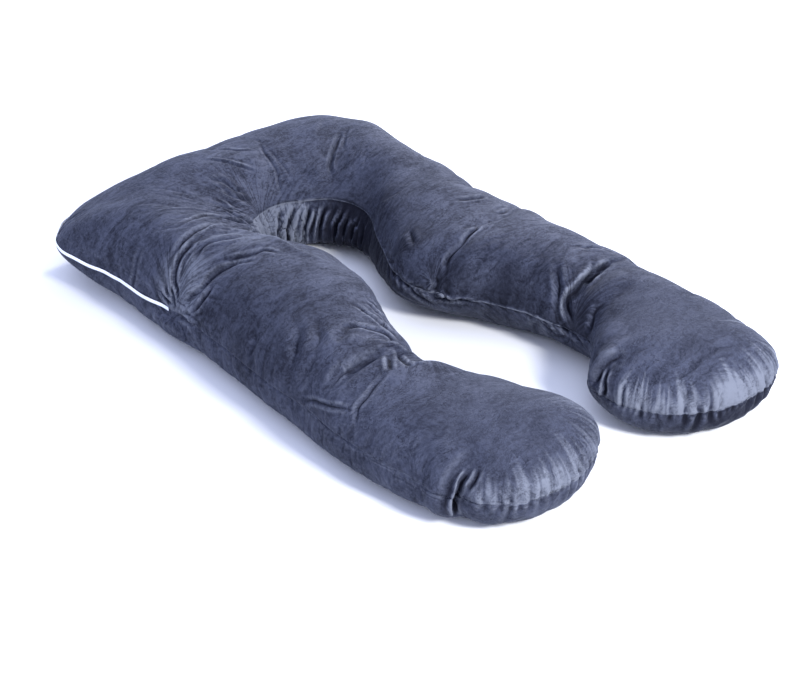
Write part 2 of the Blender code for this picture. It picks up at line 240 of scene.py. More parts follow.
# %% Cut the cover
PANEL_LEVELS = 2
SEAM_HEIGHT, SEAM_REACH = 0.002, 0.020  # how near to the path a seam point is, in height and plan
SEAM_BEND = math.radians(12)  # an edge that bends outwards by less than this is sewn
SAME_POINT = 1e-5  # points nearer than this are one
BLOCK = 4000  # points measured at a time


def near_path(points, path):
    """Seen in plan, each point's nearest place on the path: its run, its height and how far it is."""
    plan, run = path[:, :2], run_of(path)
    nearest = np.zeros(len(points), int)
    for start in range(0, len(points), BLOCK):
        block = points[start : start + BLOCK, None, :2]
        nearest[start : start + BLOCK] = ((block - plan[None]) ** 2).sum(axis=2).argmin(axis=1)
    best = np.full(len(points), np.inf)
    at, height = np.zeros(len(points)), np.zeros(len(points))
    for first in (np.maximum(nearest - 1, 0), np.minimum(nearest, len(path) - 2)):
        step = plan[first + 1] - plan[first]
        gap = points[:, :2] - plan[first]
        share = np.clip((gap * step).sum(axis=1) / (step**2).sum(axis=1), 0, 1)
        distance = np.linalg.norm(gap - share[:, None] * step, axis=1)
        closer = distance < best
        best = np.where(closer, distance, best)
        at = np.where(closer, run[first] + share * (run[first + 1] - run[first]), at)
        height = np.where(closer, path[first, 2] + share * (path[first + 1, 2] - path[first, 2]), height)
    return at, height, best


def read_all(items, field, size, kind=np.float32):
    """One field of every item, as a row of numbers each."""
    flat = np.zeros(len(items) * size, kind)
    items.foreach_get(field, flat)
    return flat.reshape(-1, size)


def points_of(piece):
    """The places of the piece's points, a row each."""
    return read_all(piece.data.vertices, "co", 3).astype(float)


def normals_of(piece):
    """The direction in which the surface faces at each point."""
    return read_all(piece.data.vertex_normals, "vector", 3).astype(float)


def set_points(piece, points):
    """Moves every point of the piece to its new place."""
    piece.data.vertices.foreach_set("co", points.astype(np.float32).ravel())
    piece.data.update()


cover = bpy.data.objects.new("cover", cad.data.copy())
bpy.context.scene.collection.objects.link(cover)
work_on(cover)
bpy.ops.object.mode_set(mode="EDIT")
bpy.ops.mesh.select_all(action="SELECT")
bpy.ops.mesh.remove_doubles(threshold=SAME_POINT)
bpy.ops.mesh.tris_convert_to_quads(
    face_threshold=math.pi, shape_threshold=math.pi, topology_influence=2.0
)
bpy.ops.object.mode_set(mode="OBJECT")

coarse = points_of(cover)
on_seam = np.zeros(len(coarse), bool)
for path in (OUTER, INNER):
    _, height, distance = near_path(coarse, path)
    on_seam |= (distance < SEAM_REACH) & (abs(coarse[:, 2] - height) < SEAM_HEIGHT)

mesh = bmesh.new()
mesh.from_mesh(cover.data)
crease = mesh.edges.layers.float.new("crease_edge")
sewn = 0
for edge in mesh.edges:
    both = on_seam[edge.verts[0].index] and on_seam[edge.verts[1].index]
    if both and edge.calc_face_angle_signed(0) < SEAM_BEND:
        edge[crease] = 1
        sewn += 1
mesh.to_mesh(cover.data)
mesh.free()
group = cover.vertex_groups.new(name="seam")
group.add([int(i) for i in np.flatnonzero(on_seam)], 1.0, "REPLACE")

rounding = cover.modifiers.new("panels", "SUBSURF")
rounding.levels = rounding.render_levels = PANEL_LEVELS
apply_modifiers(cover)
print("cover:", len(cover.data.vertices), "points,", sewn, "sewn edges")

# %% [markdown]
# ## Filling it
#
# A stuffed cover wrinkles because the cloth is a little longer than the seam that holds it.
# So the cloth is let out by a few per cent and blown up from inside while the seam and the flat
# underside are held still. The solver then finds the gathers by itself: they run in from the
# corners and along the seam. Air alone would also make the pillow fatter, so the slow part of
# what it moved is mostly taken back, and the quick part, the wrinkles, is kept.

# %% Fill the cover
LET_OUT = 0.03  # how much longer the cloth is than the shape it starts from
FRAMES = 14  # steps of the solver
CLOTH = {  # a light cloth that resists stretching more than folding, filled with air
    "quality": 4, "mass": 0.3, "tension_stiffness": 15, "compression_stiffness": 5,
    "shear_stiffness": 5, "bending_stiffness": 0.5, "use_pressure": True,
    "uniform_pressure_force": 4.0, "vertex_group_mass": "held", "shrink_min": -LET_OUT,
}
HELD_HEIGHT = 0.004  # the underside below this stays on the floor
SLOW_PASSES = 60  # smoothing passes that find the slow part of the movement
SLOW_KEPT = 0.25  # the share of the slow part that stays
MOST_MOVE = 0.016  # no point moves further than this
CALM_PLACES = (  # place in plan, reach round it, share of the wrinkles taken away
    ((-0.060, -0.470), 0.15, 0.75),
    ((-0.200, -0.480), 0.14, 0.55),
    ((0.220, -0.560), 0.18, 0.55),
    ((0.250, 0.300), 0.20, 0.35),
    ((0.240, 0.050), 0.20, 0.30),
    ((-0.260, 0.000), 0.20, 0.45),
    ((-0.300, 0.540), 0.14, 0.45),
)


def group_weights(piece, name):
    """Each point's weight in this vertex group, 0 where it isn't in it."""
    index = piece.vertex_groups[name].index
    weights = np.zeros(len(piece.data.vertices))
    for vertex in piece.data.vertices:
        for held in vertex.groups:
            if held.group == index:
                weights[vertex.index] = held.weight
    return weights


def neighbour_mean(piece, values, passes):
    """The values smoothed over the mesh: each pass moves every point half way to its neighbours."""
    a, b = read_all(piece.data.edges, "vertices", 2, np.int32).T
    count = np.bincount(a, minlength=len(values)) + np.bincount(b, minlength=len(values))
    values = values.copy()
    for _ in range(passes):
        for column in range(values.shape[1]):
            near = np.bincount(a, values[b, column], len(values))
            near += np.bincount(b, values[a, column], len(values))
            values[:, column] += 0.5 * (near / count - values[:, column])
    return values


def fill(piece, held):
    """Blows the piece up as cloth, with the held points still, and applies the result."""
    pins = piece.vertex_groups.new(name="held")
    pins.add([int(i) for i in np.flatnonzero(held)], 1.0, "REPLACE")
    cloth = piece.modifiers.new("cloth", "CLOTH")
    for setting, value in CLOTH.items():
        setattr(cloth.settings, setting, value)
    cloth.settings.effector_weights.gravity = 0
    cloth.collision_settings.use_collision = False
    cloth.point_cache.frame_end = FRAMES
    for number in range(1, FRAMES + 1):
        bpy.context.scene.frame_set(number)
    apply_modifiers(piece)


rest = points_of(cover)
sewn_points = group_weights(cover, "seam") > 0.99
held = sewn_points | (rest[:, 2] < HELD_HEIGHT)
fill(cover, held)
moved = points_of(cover) - rest
slow = neighbour_mean(cover, moved, SLOW_PASSES)
moved = moved - slow * (1 - SLOW_KEPT)
length = np.maximum(np.linalg.norm(moved, axis=1), 1e-9)[:, None]
moved *= MOST_MOVE * np.tanh(length / MOST_MOVE) / length
for place, reach, calmed in CALM_PLACES:
    beside = np.linalg.norm(rest[:, :2] - place, axis=1) / reach
    moved *= 1 - calmed * np.exp(-(beside[:, None] ** 2))
set_points(cover, rest + moved)
print("filled: the cloth moved", round(1000 * float(length.mean()), 1), "mm on average")

# %% [markdown]
# ## Where the filling has shifted
#
# Loose filling never lies evenly. It has pushed the lower panel out under the far side of the
# hollow, so that the wall there stands nearly upright, and it has left the back of the head and
# the top of each leg a little flatter. Each row moves the cover near one place by so much, most
# at the place itself and less and less round it, as proportional editing does by hand.

# %% Shift the filling
SHIFTS = (  # place, reach round it, how far the cover moves there, all in millimetres
    ((-370, -450, 20), 100, (-8, -5, 0)), ((-60, -570, 115), 85, (12, -6, 3)),
    ((-100, -424, 140), 65, (-4, -3, -8)), ((70, 600, 190), 120, (-3, -4, -8)),
    ((-300, 621, 160), 80, (-1, -3, -5)), ((390, -535, 140), 75, (-5, -2, -7)),
    ((360, -665, 105), 70, (6, -5, 0)), ((320, -60, 180), 70, (3, 3, 7)),
    ((-385, 370, 30), 80, (-7, -3, 0)), ((-385, 149, 26), 80, (8, 5, 0)),
    ((-399, -164, 44), 80, (6, 3, 0)), ((-105, 85, 185), 55, (-5, -5, -11)),
    ((100, 330, 20), 55, (-8, -14, 6)), ((126, 270, 25), 55, (-16, -14, 10)),
    ((127, 205, 35), 55, (-20, -8, 4)), ((90, 130, 40), 55, (-22, -3, 0)),
    ((52, 58, 45), 55, (-20, 0, 0)), ((36, -2, 50), 50, (-12, 2, 0)),
    ((119, -105, 17), 65, (7, 8, 0)), ((186, -262, 17), 65, (8, 5, 0)),
    ((60, -494, 88), 30, (-6, 3, 0)), ((54, -512, 86), 16, (-10, 5, 0)),
    ((95, -448, 105), 30, (13, -11, 0)),
)


def shifted(points):
    """The points after every row of SHIFTS has moved them."""
    moves = np.zeros_like(points)
    for place, reach, move in SHIFTS:
        beside = np.linalg.norm(points - np.array(place) / MM, axis=1) / (reach / MM)
        moves += np.exp(-(beside[:, None] ** 2)) * (np.array(move) / MM)
    return points + moves


set_points(cover, shifted(points_of(cover)))
OUTER, INNER = shifted(OUTER), shifted(INNER)
print("shifted the filling at", len(SHIFTS), "places")

# %% [markdown]
# ## Places along the seam
#
# The gathers, the pleats and the stitched groove all follow the seam. Every point of the cover
# is therefore given two numbers for each seam: how far along it the point lies, and how far
# off it, counted up over the upper panel and down over the lower one. They are kept on the mesh,
# so that the last subdivision carries them to the new points.

# %% Measure the cover along its seams
FINE_LEVELS = 1


def keep_numbers(piece, name, values):
    """Keeps one number for each point on the mesh, under this name."""
    attribute = piece.data.attributes.new(name, "FLOAT", "POINT")
    attribute.data.foreach_set("value", values.astype(np.float32))


def numbers(piece, name):
    """The numbers kept on the mesh under this name."""
    return read_all(piece.data.attributes[name].data, "value", 1)[:, 0].astype(float)


shaped = points_of(cover)
for name, path in (("outer", OUTER), ("inner", INNER)):
    at, height, distance = near_path(shaped, path)
    stitched = np.flatnonzero(sewn_points & (distance < SEAM_REACH))
    tree = kdtree.KDTree(len(stitched))
    for i, number in enumerate(stitched):
        tree.insert(shaped[number], i)
    tree.balance()
    off = np.array([tree.find(point)[2] for point in shaped])
    off *= np.where(shaped[:, 2] < height, -1, 1)
    keep_numbers(cover, name + "_run", at)
    keep_numbers(cover, name + "_off", off)

finer = cover.modifiers.new("finer", "SUBSURF")
finer.levels = finer.render_levels = FINE_LEVELS
apply_modifiers(cover)
for polygon in cover.data.polygons:
    polygon.use_smooth = True
RUN = {name: numbers(cover, name + "_run") for name in ("outer", "inner")}
OFF = {name: numbers(cover, name + "_off") for name in ("outer", "inner")}
print("fine cover:", len(cover.data.vertices), "points")

# %% [markdown]
# ## The creases
#
# Where the pillow bends or is pulled, its cover keeps a crease in the same place: at the waist of each leg,
# at the corners of the hollow, where the zip ends. The solver can't know those, so they are listed and
# pressed in. Each crease is a line on the surface. Across it the cloth dips to a soft trough and rises in a
# roll on one or both sides; along it the depth wavers a little and fades out at both ends.

# %% Crease tools
CREASE_STEP = 0.004
WAVER = 0.25  # how much a crease's depth varies along it
WANDER = 0.35  # how far it strays to the sides, in widths
WAVER_LENGTH, WANDER_LENGTH = 0.05, 0.035
FADE = (-0.03, 0.28)  # it fades at each end over these shares of its length
TROUGH_POWER, ROLL_PLACE, ROLL_WIDTH = 1.4, 2.0, 1.05  # its section, in half widths
CREASE_REACH = 4.2  # half widths within which it is felt


def ease(value, low, high):
    """The value's place between low and high, from 0 to 1, with soft ends."""
    share = np.clip((value - low) / (high - low), 0, 1)
    return share * share * (3 - 2 * share)


def smooth_noise(values, seed):
    """Soft noise along a line, from about -1 to 1."""
    return np.array([noise.noise((float(v), 17.3 * seed, 4.1)) * 2 for v in values])


def along_path(path, runs):
    """The points this far along the path."""
    return np.column_stack([np.interp(runs, run_of(path), column) for column in path.T])


def lay_line(piece, places):
    """A smooth line through the places, laid on the piece."""
    path = smooth_path(places)
    size = run_of(path)[-1]
    points = along_path(path, np.linspace(0, size, max(int(size / CREASE_STEP), 4)))
    return np.array([piece.closest_point_on_mesh(Vector(point))[1] for point in points])


def across_line(points, normals, line):
    """Each point's signed distance across the line, and its share of the way along it."""
    run = run_of(line)
    best = np.full(len(points), np.inf)
    side = np.zeros(len(points))
    along = np.zeros(len(points))
    for start, end, before in zip(line, line[1:], run):
        step = end - start
        size = max(np.linalg.norm(step), 1e-9)
        share = np.clip((points - start) @ step / size**2, 0, 1)
        gap = points - start - share[:, None] * step
        distance = np.linalg.norm(gap, axis=1)
        closer = distance < best
        left = np.einsum("ij,ij->i", np.cross(normals, step / size), gap)
        best = np.where(closer, distance, best)
        side = np.where(closer, np.sign(left), side)
        along = np.where(closer, before + share * size, along)
    return best * side, along / run[-1], run[-1]


def push_out(piece, push):
    """Moves each point of the piece along its normal by so much."""
    set_points(piece, points_of(piece) + normals_of(piece) * push[:, None])


def press(piece, creases):
    """Presses the creases into the piece."""
    points, normals = points_of(piece), normals_of(piece)
    push = np.zeros(len(points))
    for number, (width, depth, left_roll, right_roll, *places) in enumerate(creases):
        line = lay_line(piece, np.array(places) / MM)
        width, depth = width / MM, depth / MM
        reach = CREASE_REACH * width
        low, high = line.min(axis=0) - reach, line.max(axis=0) + reach
        near = np.flatnonzero(((points > low) & (points < high)).all(axis=1))
        distance, along, size = across_line(points[near], normals[near], line)
        key = number * 1.7  # each crease has its own stretch of the noise
        distance = distance + WANDER * width * smooth_noise(along * size / WANDER_LENGTH, key)
        strength = 1 + WAVER * smooth_noise(along * size / WAVER_LENGTH, key + 0.6)
        strength *= ease(along, *FADE) * ease(1 - along, *FADE)
        size_off = abs(distance) / width
        trough = np.exp(-(size_off**TROUGH_POWER))
        roll = np.where(distance > 0, left_roll, right_roll)
        rolls = roll * np.exp(-(((size_off - ROLL_PLACE) / ROLL_WIDTH) ** 2))
        push[near] += depth * strength * (rolls - trough)
    push_out(piece, push)


print("crease tools: a line has a point every", 1000 * CREASE_STEP, "mm")

# %% Press the creases
# Half width, depth, the rolls on the left and on the right as shares of the depth, then the
# places it runs through. Lengths are in millimetres, and a depth below 0 stands up as a ridge.
CREASES = (
    # the near corner of the hollow
    (3.6, -2.6, 0.3, 0.3, (-120, 450, 165), (-100, 415, 145), (-85, 370, 130), (-55, 375, 95)),
    (3.6, 3.4, 0.7, 0.7, (-165, 425, 165), (-125, 400, 150), (-105, 370, 135), (-60, 375, 95)),
    (4.2, -2.8, 0.4, 0.3, (-300, 420, 190), (-260, 420, 195), (-205, 410, 180), (-155, 390, 155),
     (-115, 360, 140), (-65, 375, 95)),
    (4.2, 4, 0.7, 0.5, (-310, 335, 195), (-265, 340, 200), (-180, 375, 165), (-125, 360, 140),
     (-65, 375, 95)),
    (5.5, 6, 0.4, 0.7, (-345, 260, 170), (-325, 275, 190), (-280, 290, 200), (-220, 305, 185),
     (-145, 335, 145)),
    # the ridge along the near leg, and a fold beside it
    (12, -4.5, 0.3, 0.3, (-295, 285, 195), (-240, 290, 195), (-190, 265, 195), (-165, 200, 195),
     (-160, 100, 195), (-120, 5, 180)),
    (6, 5, 0.5, 0.5, (-325, 220, 180), (-290, 240, 190), (-255, 230, 200), (-205, 215, 195)),
    # the tuft where the zip starts, and the folds that fan out from it
    (4.5, 5, 0.6, 0.6, (-375, 220, 110), (-370, 235, 140), (-345, 255, 165), (-315, 265, 185),
     (-280, 270, 190)),
    (6, 5.5, 0.6, 0.3, (-380, 200, 110), (-370, 185, 130), (-350, 160, 155), (-325, 165, 170),
     (-290, 150, 185), (-245, 105, 205)),
    (5, 6, 0.5, 0.5, (-385, 180, 100), (-385, 140, 140), (-360, 130, 170), (-340, 135, 180)),
    (4.5, 3, 0.6, 0.3, (-295, 170, 190), (-255, 155, 195), (-220, 135, 195), (-195, 100, 200)),
    (4, 5.5, 0.6, 0.6, (-380, 225, 95), (-380, 250, 100), (-385, 275, 115)),
    (4, 5.5, 0.6, 0.6, (-380, 220, 95), (-380, 240, 110), (-380, 255, 135)),
    (4, 5.5, 0.6, 0.6, (-380, 220, 95), (-375, 235, 115), (-375, 245, 135)),
    (4.5, 3.5, 0.5, 0.5, (-385, 210, 85), (-385, 180, 85), (-390, 150, 85)),
    (4.5, 3.5, 0.5, 0.5, (-385, 190, 95), (-390, 145, 115), (-385, 115, 140)),
    # the head
    (3.6, -2.8, 0.3, 0.5, (-65, 565, 195), (-35, 525, 195), (-5, 495, 185), (15, 470, 175)),
    (3.6, -2.4, 0.3, 0.5, (-15, 590, 190), (15, 555, 195), (50, 530, 195)),
    (6, 4, 0.5, 0.5, (-105, 500, 180), (-75, 480, 175), (-65, 450, 160), (-50, 435, 155)),
    (6, 3.5, 0.5, 0.5, (-85, 465, 165), (-80, 440, 155), (-50, 415, 145)),
    (3.4, 2.2, 0.3, 0.4, (90, 570, 190), (65, 510, 185), (55, 460, 170), (40, 425, 145), (30, 400, 120)),
    (3.6, 1.4, 0.3, 0.4, (80, 525, 190), (75, 470, 175), (70, 415, 150)),
    (4.8, 6, 0.7, 0.3, (255, 470, 190), (215, 445, 180), (170, 410, 165), (145, 380, 150)),
    (4.5, 3, 0.5, 0.3, (270, 470, 195), (235, 440, 185), (210, 410, 180)),
    # beside the zip
    (5, 2.5, 0.4, 0.4, (-390, 355, 75), (-385, 355, 110), (-375, 360, 140), (-355, 365, 165)),
    # the near leg's waist
    (8.5, 7, 0.1, 0.6, (-230, -275, 175), (-265, -265, 175), (-300, -260, 170), (-335, -260, 165),
     (-355, -260, 160), (-380, -265, 145)),
    (6, -4, 0.3, 0.3, (-255, -230, 185), (-230, -240, 180), (-215, -270, 175), (-200, -290, 160)),
    (5, 4.5, 0.5, 0.5, (-180, -235, 150), (-185, -195, 170), (-190, -155, 180), (-205, -115, 195)),
    (4.5, 4, 0.5, 0.5, (-180, -215, 160), (-160, -145, 160), (-170, -115, 180)),
    (4.5, 3.5, 0.5, 0.5, (-155, -165, 155), (-145, -125, 160), (-160, -105, 180)),
    (5, 4.5, 0.5, 0.4, (-210, -275, 175), (-200, -210, 165), (-235, -185, 180), (-275, -170, 195)),
    # the puckers below it
    (5, 6.5, 0.7, 0.4, (-220, -275, 170), (-235, -300, 170), (-245, -325, 170)),
    (5, 5, 0.5, 0.6, (-250, -280, 170), (-265, -295, 175), (-275, -315, 170)),
    (4.5, 5, 0.7, 0.3, (-195, -325, 160), (-215, -315, 165), (-235, -310, 170)),
    # the near leg below the waist
    (4.2, 4.5, 0.1, 0.3, (-270, -310, 170), (-310, -320, 165), (-345, -330, 155), (-370, -335, 140),
     (-390, -355, 125)),
    (4, 4.5, 0.4, 0.4, (-395, -205, 105), (-395, -250, 125), (-385, -295, 135), (-370, -330, 140)),
    (4.5, 3, 0.3, 0.3, (-400, -315, 115), (-400, -320, 90)),
    # the near leg's side
    (11, 6, 0.4, 0.5, (-315, -100, 190), (-350, -140, 180), (-380, -155, 155), (-395, -155, 125)),
    (10, 5, 0.4, 0.4, (-280, -120, 195), (-315, -160, 190), (-350, -190, 175)),
    (9, 4.5, 0.4, 0.4, (-235, -170, 185), (-280, -190, 195), (-305, -205, 190)),
    (9, 4.5, 0.4, 0.4, (-360, -25, 165), (-385, -45, 140), (-395, -45, 110)),
    # the near foot
    (4, 13, 0.1, 1.1, (-315, -565, 115), (-335, -565, 105), (-340, -565, 85), (-345, -560, 60),
     (-335, -555, 25)),
    (6, 2, 0.3, 0.4, (-290, -550, 135), (-310, -545, 120), (-335, -550, 115), (-350, -550, 100),
     (-355, -555, 80)),
    (3.8, 5, 0.4, 0.9, (-305, -580, 125), (-320, -585, 110), (-335, -580, 90)),
    # the far leg and foot
    (4.5, 6, 0.5, 0.2, (200, -55, 185), (160, -60, 180), (120, -70, 175), (90, -70, 155), (65, -80, 135)),
    (4, 7, 1, 0.2, (45, -70, 80), (60, -95, 85), (75, -120, 90), (95, -150, 85)),
    (6, 6, 0.4, 0.4, (55, -70, 130), (50, -75, 110), (45, -70, 90)),
    (7, 7.5, 0.6, 0.3, (220, -245, 175), (180, -285, 160), (160, -305, 130), (160, -320, 95)),
    (6.5, 13, 0.3, 0.7, (280, -295, 170), (255, -300, 160), (205, -315, 155), (180, -315, 140),
     (170, -325, 120), (165, -345, 95)),
    (5.5, 6, 0.4, 0.4, (310, -310, 170), (275, -305, 160), (225, -320, 155)),
    (6, 6, 0.3, 0.5, (210, -385, 155), (190, -380, 140), (175, -385, 115), (165, -385, 95)),
    (6, 4.5, 0.4, 0.4, (100, 60, 165), (70, 15, 160)),
    (5, 4, 0.5, 0.5, (50, 60, 95), (40, 15, 90), (35, -35, 85), (45, -65, 65), (70, -80, 45)),
    (4.5, 3, 0.5, 0.5, (45, 50, 70), (35, 0, 60), (45, -50, 50)),
    (4.5, 3, 0.5, 0.5, (45, 40, 95), (35, -5, 95), (40, -55, 95), (50, -75, 85)),
    (5, 3.5, 0.4, 0.4, (145, -240, 85), (150, -275, 70), (160, -310, 65)),
    (4.5, 3, 0.4, 0.4, (145, -290, 90), (165, -330, 80), (165, -370, 75)),
    (4.5, 3.5, 0.4, 0.4, (155, -310, 85), (165, -350, 75), (165, -380, 65)),
    (5, 4, 0.5, 0.5, (320, -20, 165), (280, -35, 175), (250, -35, 180)),
    (5, 4, 0.5, 0.5, (300, 45, 180), (265, 40, 185), (220, 60, 190)),
    (5, 3, 0.5, 0.5, (275, -240, 185), (325, -260, 170), (340, -300, 170)),
    (9, 9, 0.3, 0.6, (115, -520, 150), (90, -510, 130), (75, -505, 110), (65, -495, 80)),
    (3.6, 6, 0.5, 0.9, (85, -515, 125), (70, -520, 105), (60, -530, 90), (60, -525, 70)),
    (3.6, 5.5, 0.5, 0.9, (80, -560, 115), (68, -565, 95), (65, -570, 80), (65, -570, 65)),
    # the far wall of the hollow, its upper edge, and the swell below the zip
    (4.5, 4.5, 0.6, 0.6, (15, 395, 100), (5, 390, 85), (-5, 380, 65), (-10, 375, 40)),
    (5, 12, 0.7, 0.7, (50, 385, 105), (35, 385, 85), (20, 380, 65), (10, 375, 35), (5, 375, 10)),
    (4.8, 11, 0.7, 0.7, (75, 370, 105), (65, 365, 80), (55, 360, 55), (45, 360, 15)),
    (4.5, 9, 0.7, 0.7, (90, 360, 100), (75, 355, 75), (60, 350, 50), (55, 350, 20)),
    (5.2, 12.5, 0.7, 0.7, (105, 350, 105), (95, 350, 80), (85, 345, 50), (80, 345, 15)),
    (4.8, 10, 0.7, 0.7, (130, 320, 100), (120, 315, 75), (115, 310, 45), (110, 310, 15)),
    (4.5, 8, 0.6, 0.6, (135, 300, 100), (125, 295, 70), (120, 290, 30)),
    (4.5, 7, 0.6, 0.6, (140, 275, 95), (130, 265, 60), (125, 260, 30)),
    (4.5, 7, 0.6, 0.6, (135, 250, 90), (125, 235, 60), (120, 225, 30)),
    (4, -2, 0.2, 0.2, (-50, 385, 120), (0, 395, 120), (50, 385, 120), (100, 355, 120), (135, 295, 120),
     (135, 225, 115), (100, 150, 105), (50, 55, 105)),
    (18, -6, 0.1, 0.1, (-395, 270, 55), (-395, 220, 50), (-390, 180, 55)),
)
press(cover, CREASES)
print("pressed", len(CREASES), "creases")

# %% [markdown]
# ## Gathers along the seam
#
# Short puckers stand off the seam wherever its stitching has drawn the cloth together. They
# are deepest near the stitches and die out in the panel. The large ones have their own row; the
# small ones between them are strewn evenly enough to look sewn, from a fixed seed.

# %% Gather the seams
# seam, place on it in plan, half width, depth, reach up, reach down (mm), lean along the seam
GATHERS = (
    ("outer", (-322, -612), 5, 5.5, 40, 20, 0.2), ("outer", (-302, -629), 4.5, 4, 30, 20, 0.1),
    ("outer", (-285, -637), 5, 7.5, 40, 55, 0.2), ("outer", (-274, -643), 4.5, 5.5, 45, 20, 0),
    ("outer", (-256, -652), 4.5, 4, 30, 30, 0), ("outer", (-235, -658), 5, 5.5, 40, 45, 0.1),
    ("outer", (-213, -663), 4.5, 5, 45, 40, 0.1), ("inner", (-190, -665), 4.5, 5.5, 55, 40, -0.1),
    ("inner", (-165, -664), 4.5, 4, 45, 40, -0.2), ("inner", (-140, -660), 4.5, 5.5, 50, 45, -0.3),
    ("inner", (-100, -648), 5, 4, 40, 40, -0.4), ("inner", (-66, -618), 5, 3.5, 35, 30, -0.4),
    ("inner", (76, -606), 4.5, 4, 35, 35, 0), ("inner", (92, -632), 4.5, 5, 35, 35, 0),
    ("inner", (110, -650), 4.5, 6.5, 50, 30, -0.1), ("inner", (128, -663), 5, 7, 65, 30, 0.1),
    ("inner", (158, -681), 5, 7, 35, 55, -0.2), ("inner", (178, -690), 5, 7, 70, 35, 0.2),
    ("inner", (190, -695), 4.5, 5, 65, 35, 0.1), ("inner", (222, -703), 4.5, 4, 50, 35, 0),
    ("outer", (262, -706), 4.5, 4, 45, 40, 0.2), ("outer", (290, -705), 4.5, 4, 50, 40, 0.2),
    ("outer", (318, -701), 5, 7.5, 45, 40, 0.2), ("outer", (350, -690), 5, 5, 40, 35, 0.2),
    ("outer", (385, -665), 5, 4, 40, 30, 0.2),
)
# The small ones, in millimetres too: seam, from and to places, pitch, half width, depth, reach up,
# reach down and lean, each drawn between its two values
SMALL_GATHERS = (
    ("outer", (-355, -562), (-205, -664), (7, 15), (3.5, 5), (1, 3.6), (12, 36), (15, 40), (0, 0.5)),
    ("outer", (-402, -240), (-355, -562), (14, 30), (4, 6), (0.8, 2.8), (8, 20), (30, 70), (-1.2, -0.5)),
    ("outer", (-386, 235), (-402, -240), (10, 22), (4, 6), (1.4, 4), (4, 12), (40, 75), (-1.5, -0.9)),
    ("outer", (-410, 600), (-386, 240), (14, 30), (4, 6), (0.5, 1.6), (5, 12), (30, 70), (-0.9, 0)),
    ("outer", (-350, 683), (398, 560), (20, 45), (4, 7), (0.6, 2), (15, 45), (15, 40), (-0.5, 0.5)),
    ("outer", (398, 560), (420, -470), (20, 45), (4, 7), (0.6, 2.2), (15, 45), (15, 40), (-0.5, 0.5)),
    ("outer", (424, -495), (255, -706), (9, 18), (3.5, 5), (0.8, 3), (15, 45), (15, 40), (0.1, 0.6)),
    ("inner", (-205, -664), (-32, -515), (8, 15), (3.5, 5), (1, 3.4), (15, 42), (15, 40), (-0.7, -0.2)),
    ("inner", (-32, -515), (-62, 0), (20, 40), (4, 6), (0.5, 1.8), (10, 30), (10, 35), (-0.5, 0.5)),
    ("inner", (-62, 0), (100, 150), (18, 36), (3.5, 5), (0.4, 1.2), (8, 20), (20, 50), (-0.3, 0.3)),
    ("inner", (100, 150), (105, -170), (10, 22), (3.5, 5), (0.8, 2.5), (10, 30), (15, 45), (0.4, 1.4)),
    ("inner", (105, -170), (75, -475), (14, 30), (3.5, 5), (0.8, 2.2), (6, 18), (20, 50), (0.5, 1.5)),
    ("inner", (60, -540), (255, -706), (7, 15), (3.5, 5), (1, 3.6), (15, 45), (15, 40), (-0.4, 0.2)),
)
GATHER_SPREAD = 0.8  # how much a pucker widens towards its end
START_DEPTH, START_REACH = 0.35, 0.007  # the share of its depth at the stitches, and where it is full
FADE_UP, FADE_DOWN = 1.5, 1.0  # how steeply it dies out on the upper and the lower panel
GATHER_ROLL, ROLL_BESIDE = 0.35, 2  # the rolls beside it: their height, and their place in half widths


def run_at(path, place):
    """The distance along the path at its point nearest to this place in plan."""
    return run_of(path)[np.argmin(np.linalg.norm(path[:, :2] - place, axis=1))]


def small_gathers(stretch, draw):
    """Rows like those of GATHERS, strewn along one stretch of a seam."""
    name, *lengths, lean = stretch
    first, last, pitch, *spans = np.array(lengths) / MM
    at, end = run_at(paths[name], first), run_at(paths[name], last)
    rows = []
    while at < end:
        rows.append((name, at, *(draw.uniform(*span) for span in (*spans, lean))))
        at += draw.uniform(*pitch)
    return rows


def gather(piece, rows):
    """Presses a pucker into the seam for each row."""
    push = np.zeros(len(piece.data.vertices))
    for name, at, width, depth, up, down, lean in rows:
        run, off = RUN[name], OFF[name]
        reach = np.where(off > 0, up, down)
        share = np.clip(1 - abs(off) / reach, 0, 1)
        beside = (run - at - lean * abs(off)) / (width * (1 + GATHER_SPREAD * abs(off) / reach))
        start = START_DEPTH + (1 - START_DEPTH) * ease(abs(off), 0.0, START_REACH)
        fade = share ** np.where(off > 0, FADE_UP, FADE_DOWN)
        trough = np.exp(-(beside**2)) - GATHER_ROLL * np.exp(-((abs(beside) - ROLL_BESIDE) ** 2))
        push -= depth * start * fade * trough
    push_out(piece, push)


draw = np.random.default_rng(11)
paths = {"outer": OUTER, "inner": INNER}
rows = [
    (name, run_at(paths[name], np.array(place) / MM), *(np.array(sizes) / MM), lean)
    for name, place, *sizes, lean in GATHERS
]
for stretch in SMALL_GATHERS:
    rows += small_gathers(stretch, draw)
gather(cover, rows)
print("gathered", len(rows), "puckers")

# %% [markdown]
# ### The stitched line
#
# Last comes the stitched line itself, drawn in between the two panels' lips. Along part of the
# hollow the inner seam stands out as a thin rim instead, and the outer one makes way for the
# zip. Whatever has sunk below the floor is set down on it.

# %% Draw in the stitches
GROOVE_DEPTH, GROOVE_WIDTH, GROOVE_POWER = 0.0006, 0.0022, 1.3
RIM = ((-0.070, 0.378), (0.155, -0.360))  # from here to here the inner seam stands out as a thin rim
RIM_HEIGHT, RIM_WIDTH, RIM_GROWS, RIM_DIES = 0.0030, 0.0030, 0.03, 0.05
LIP_HEIGHT, LIP_OFF, LIP_WIDTH = 0.0005, 0.0060, 0.0040
ZIP_PLACES = ((-0.386, 0.238), (-0.280, 0.694))  # where the zip starts and ends on the outer seam
ZIP_ENDS = 0.02  # length over which the groove gives way to the zip

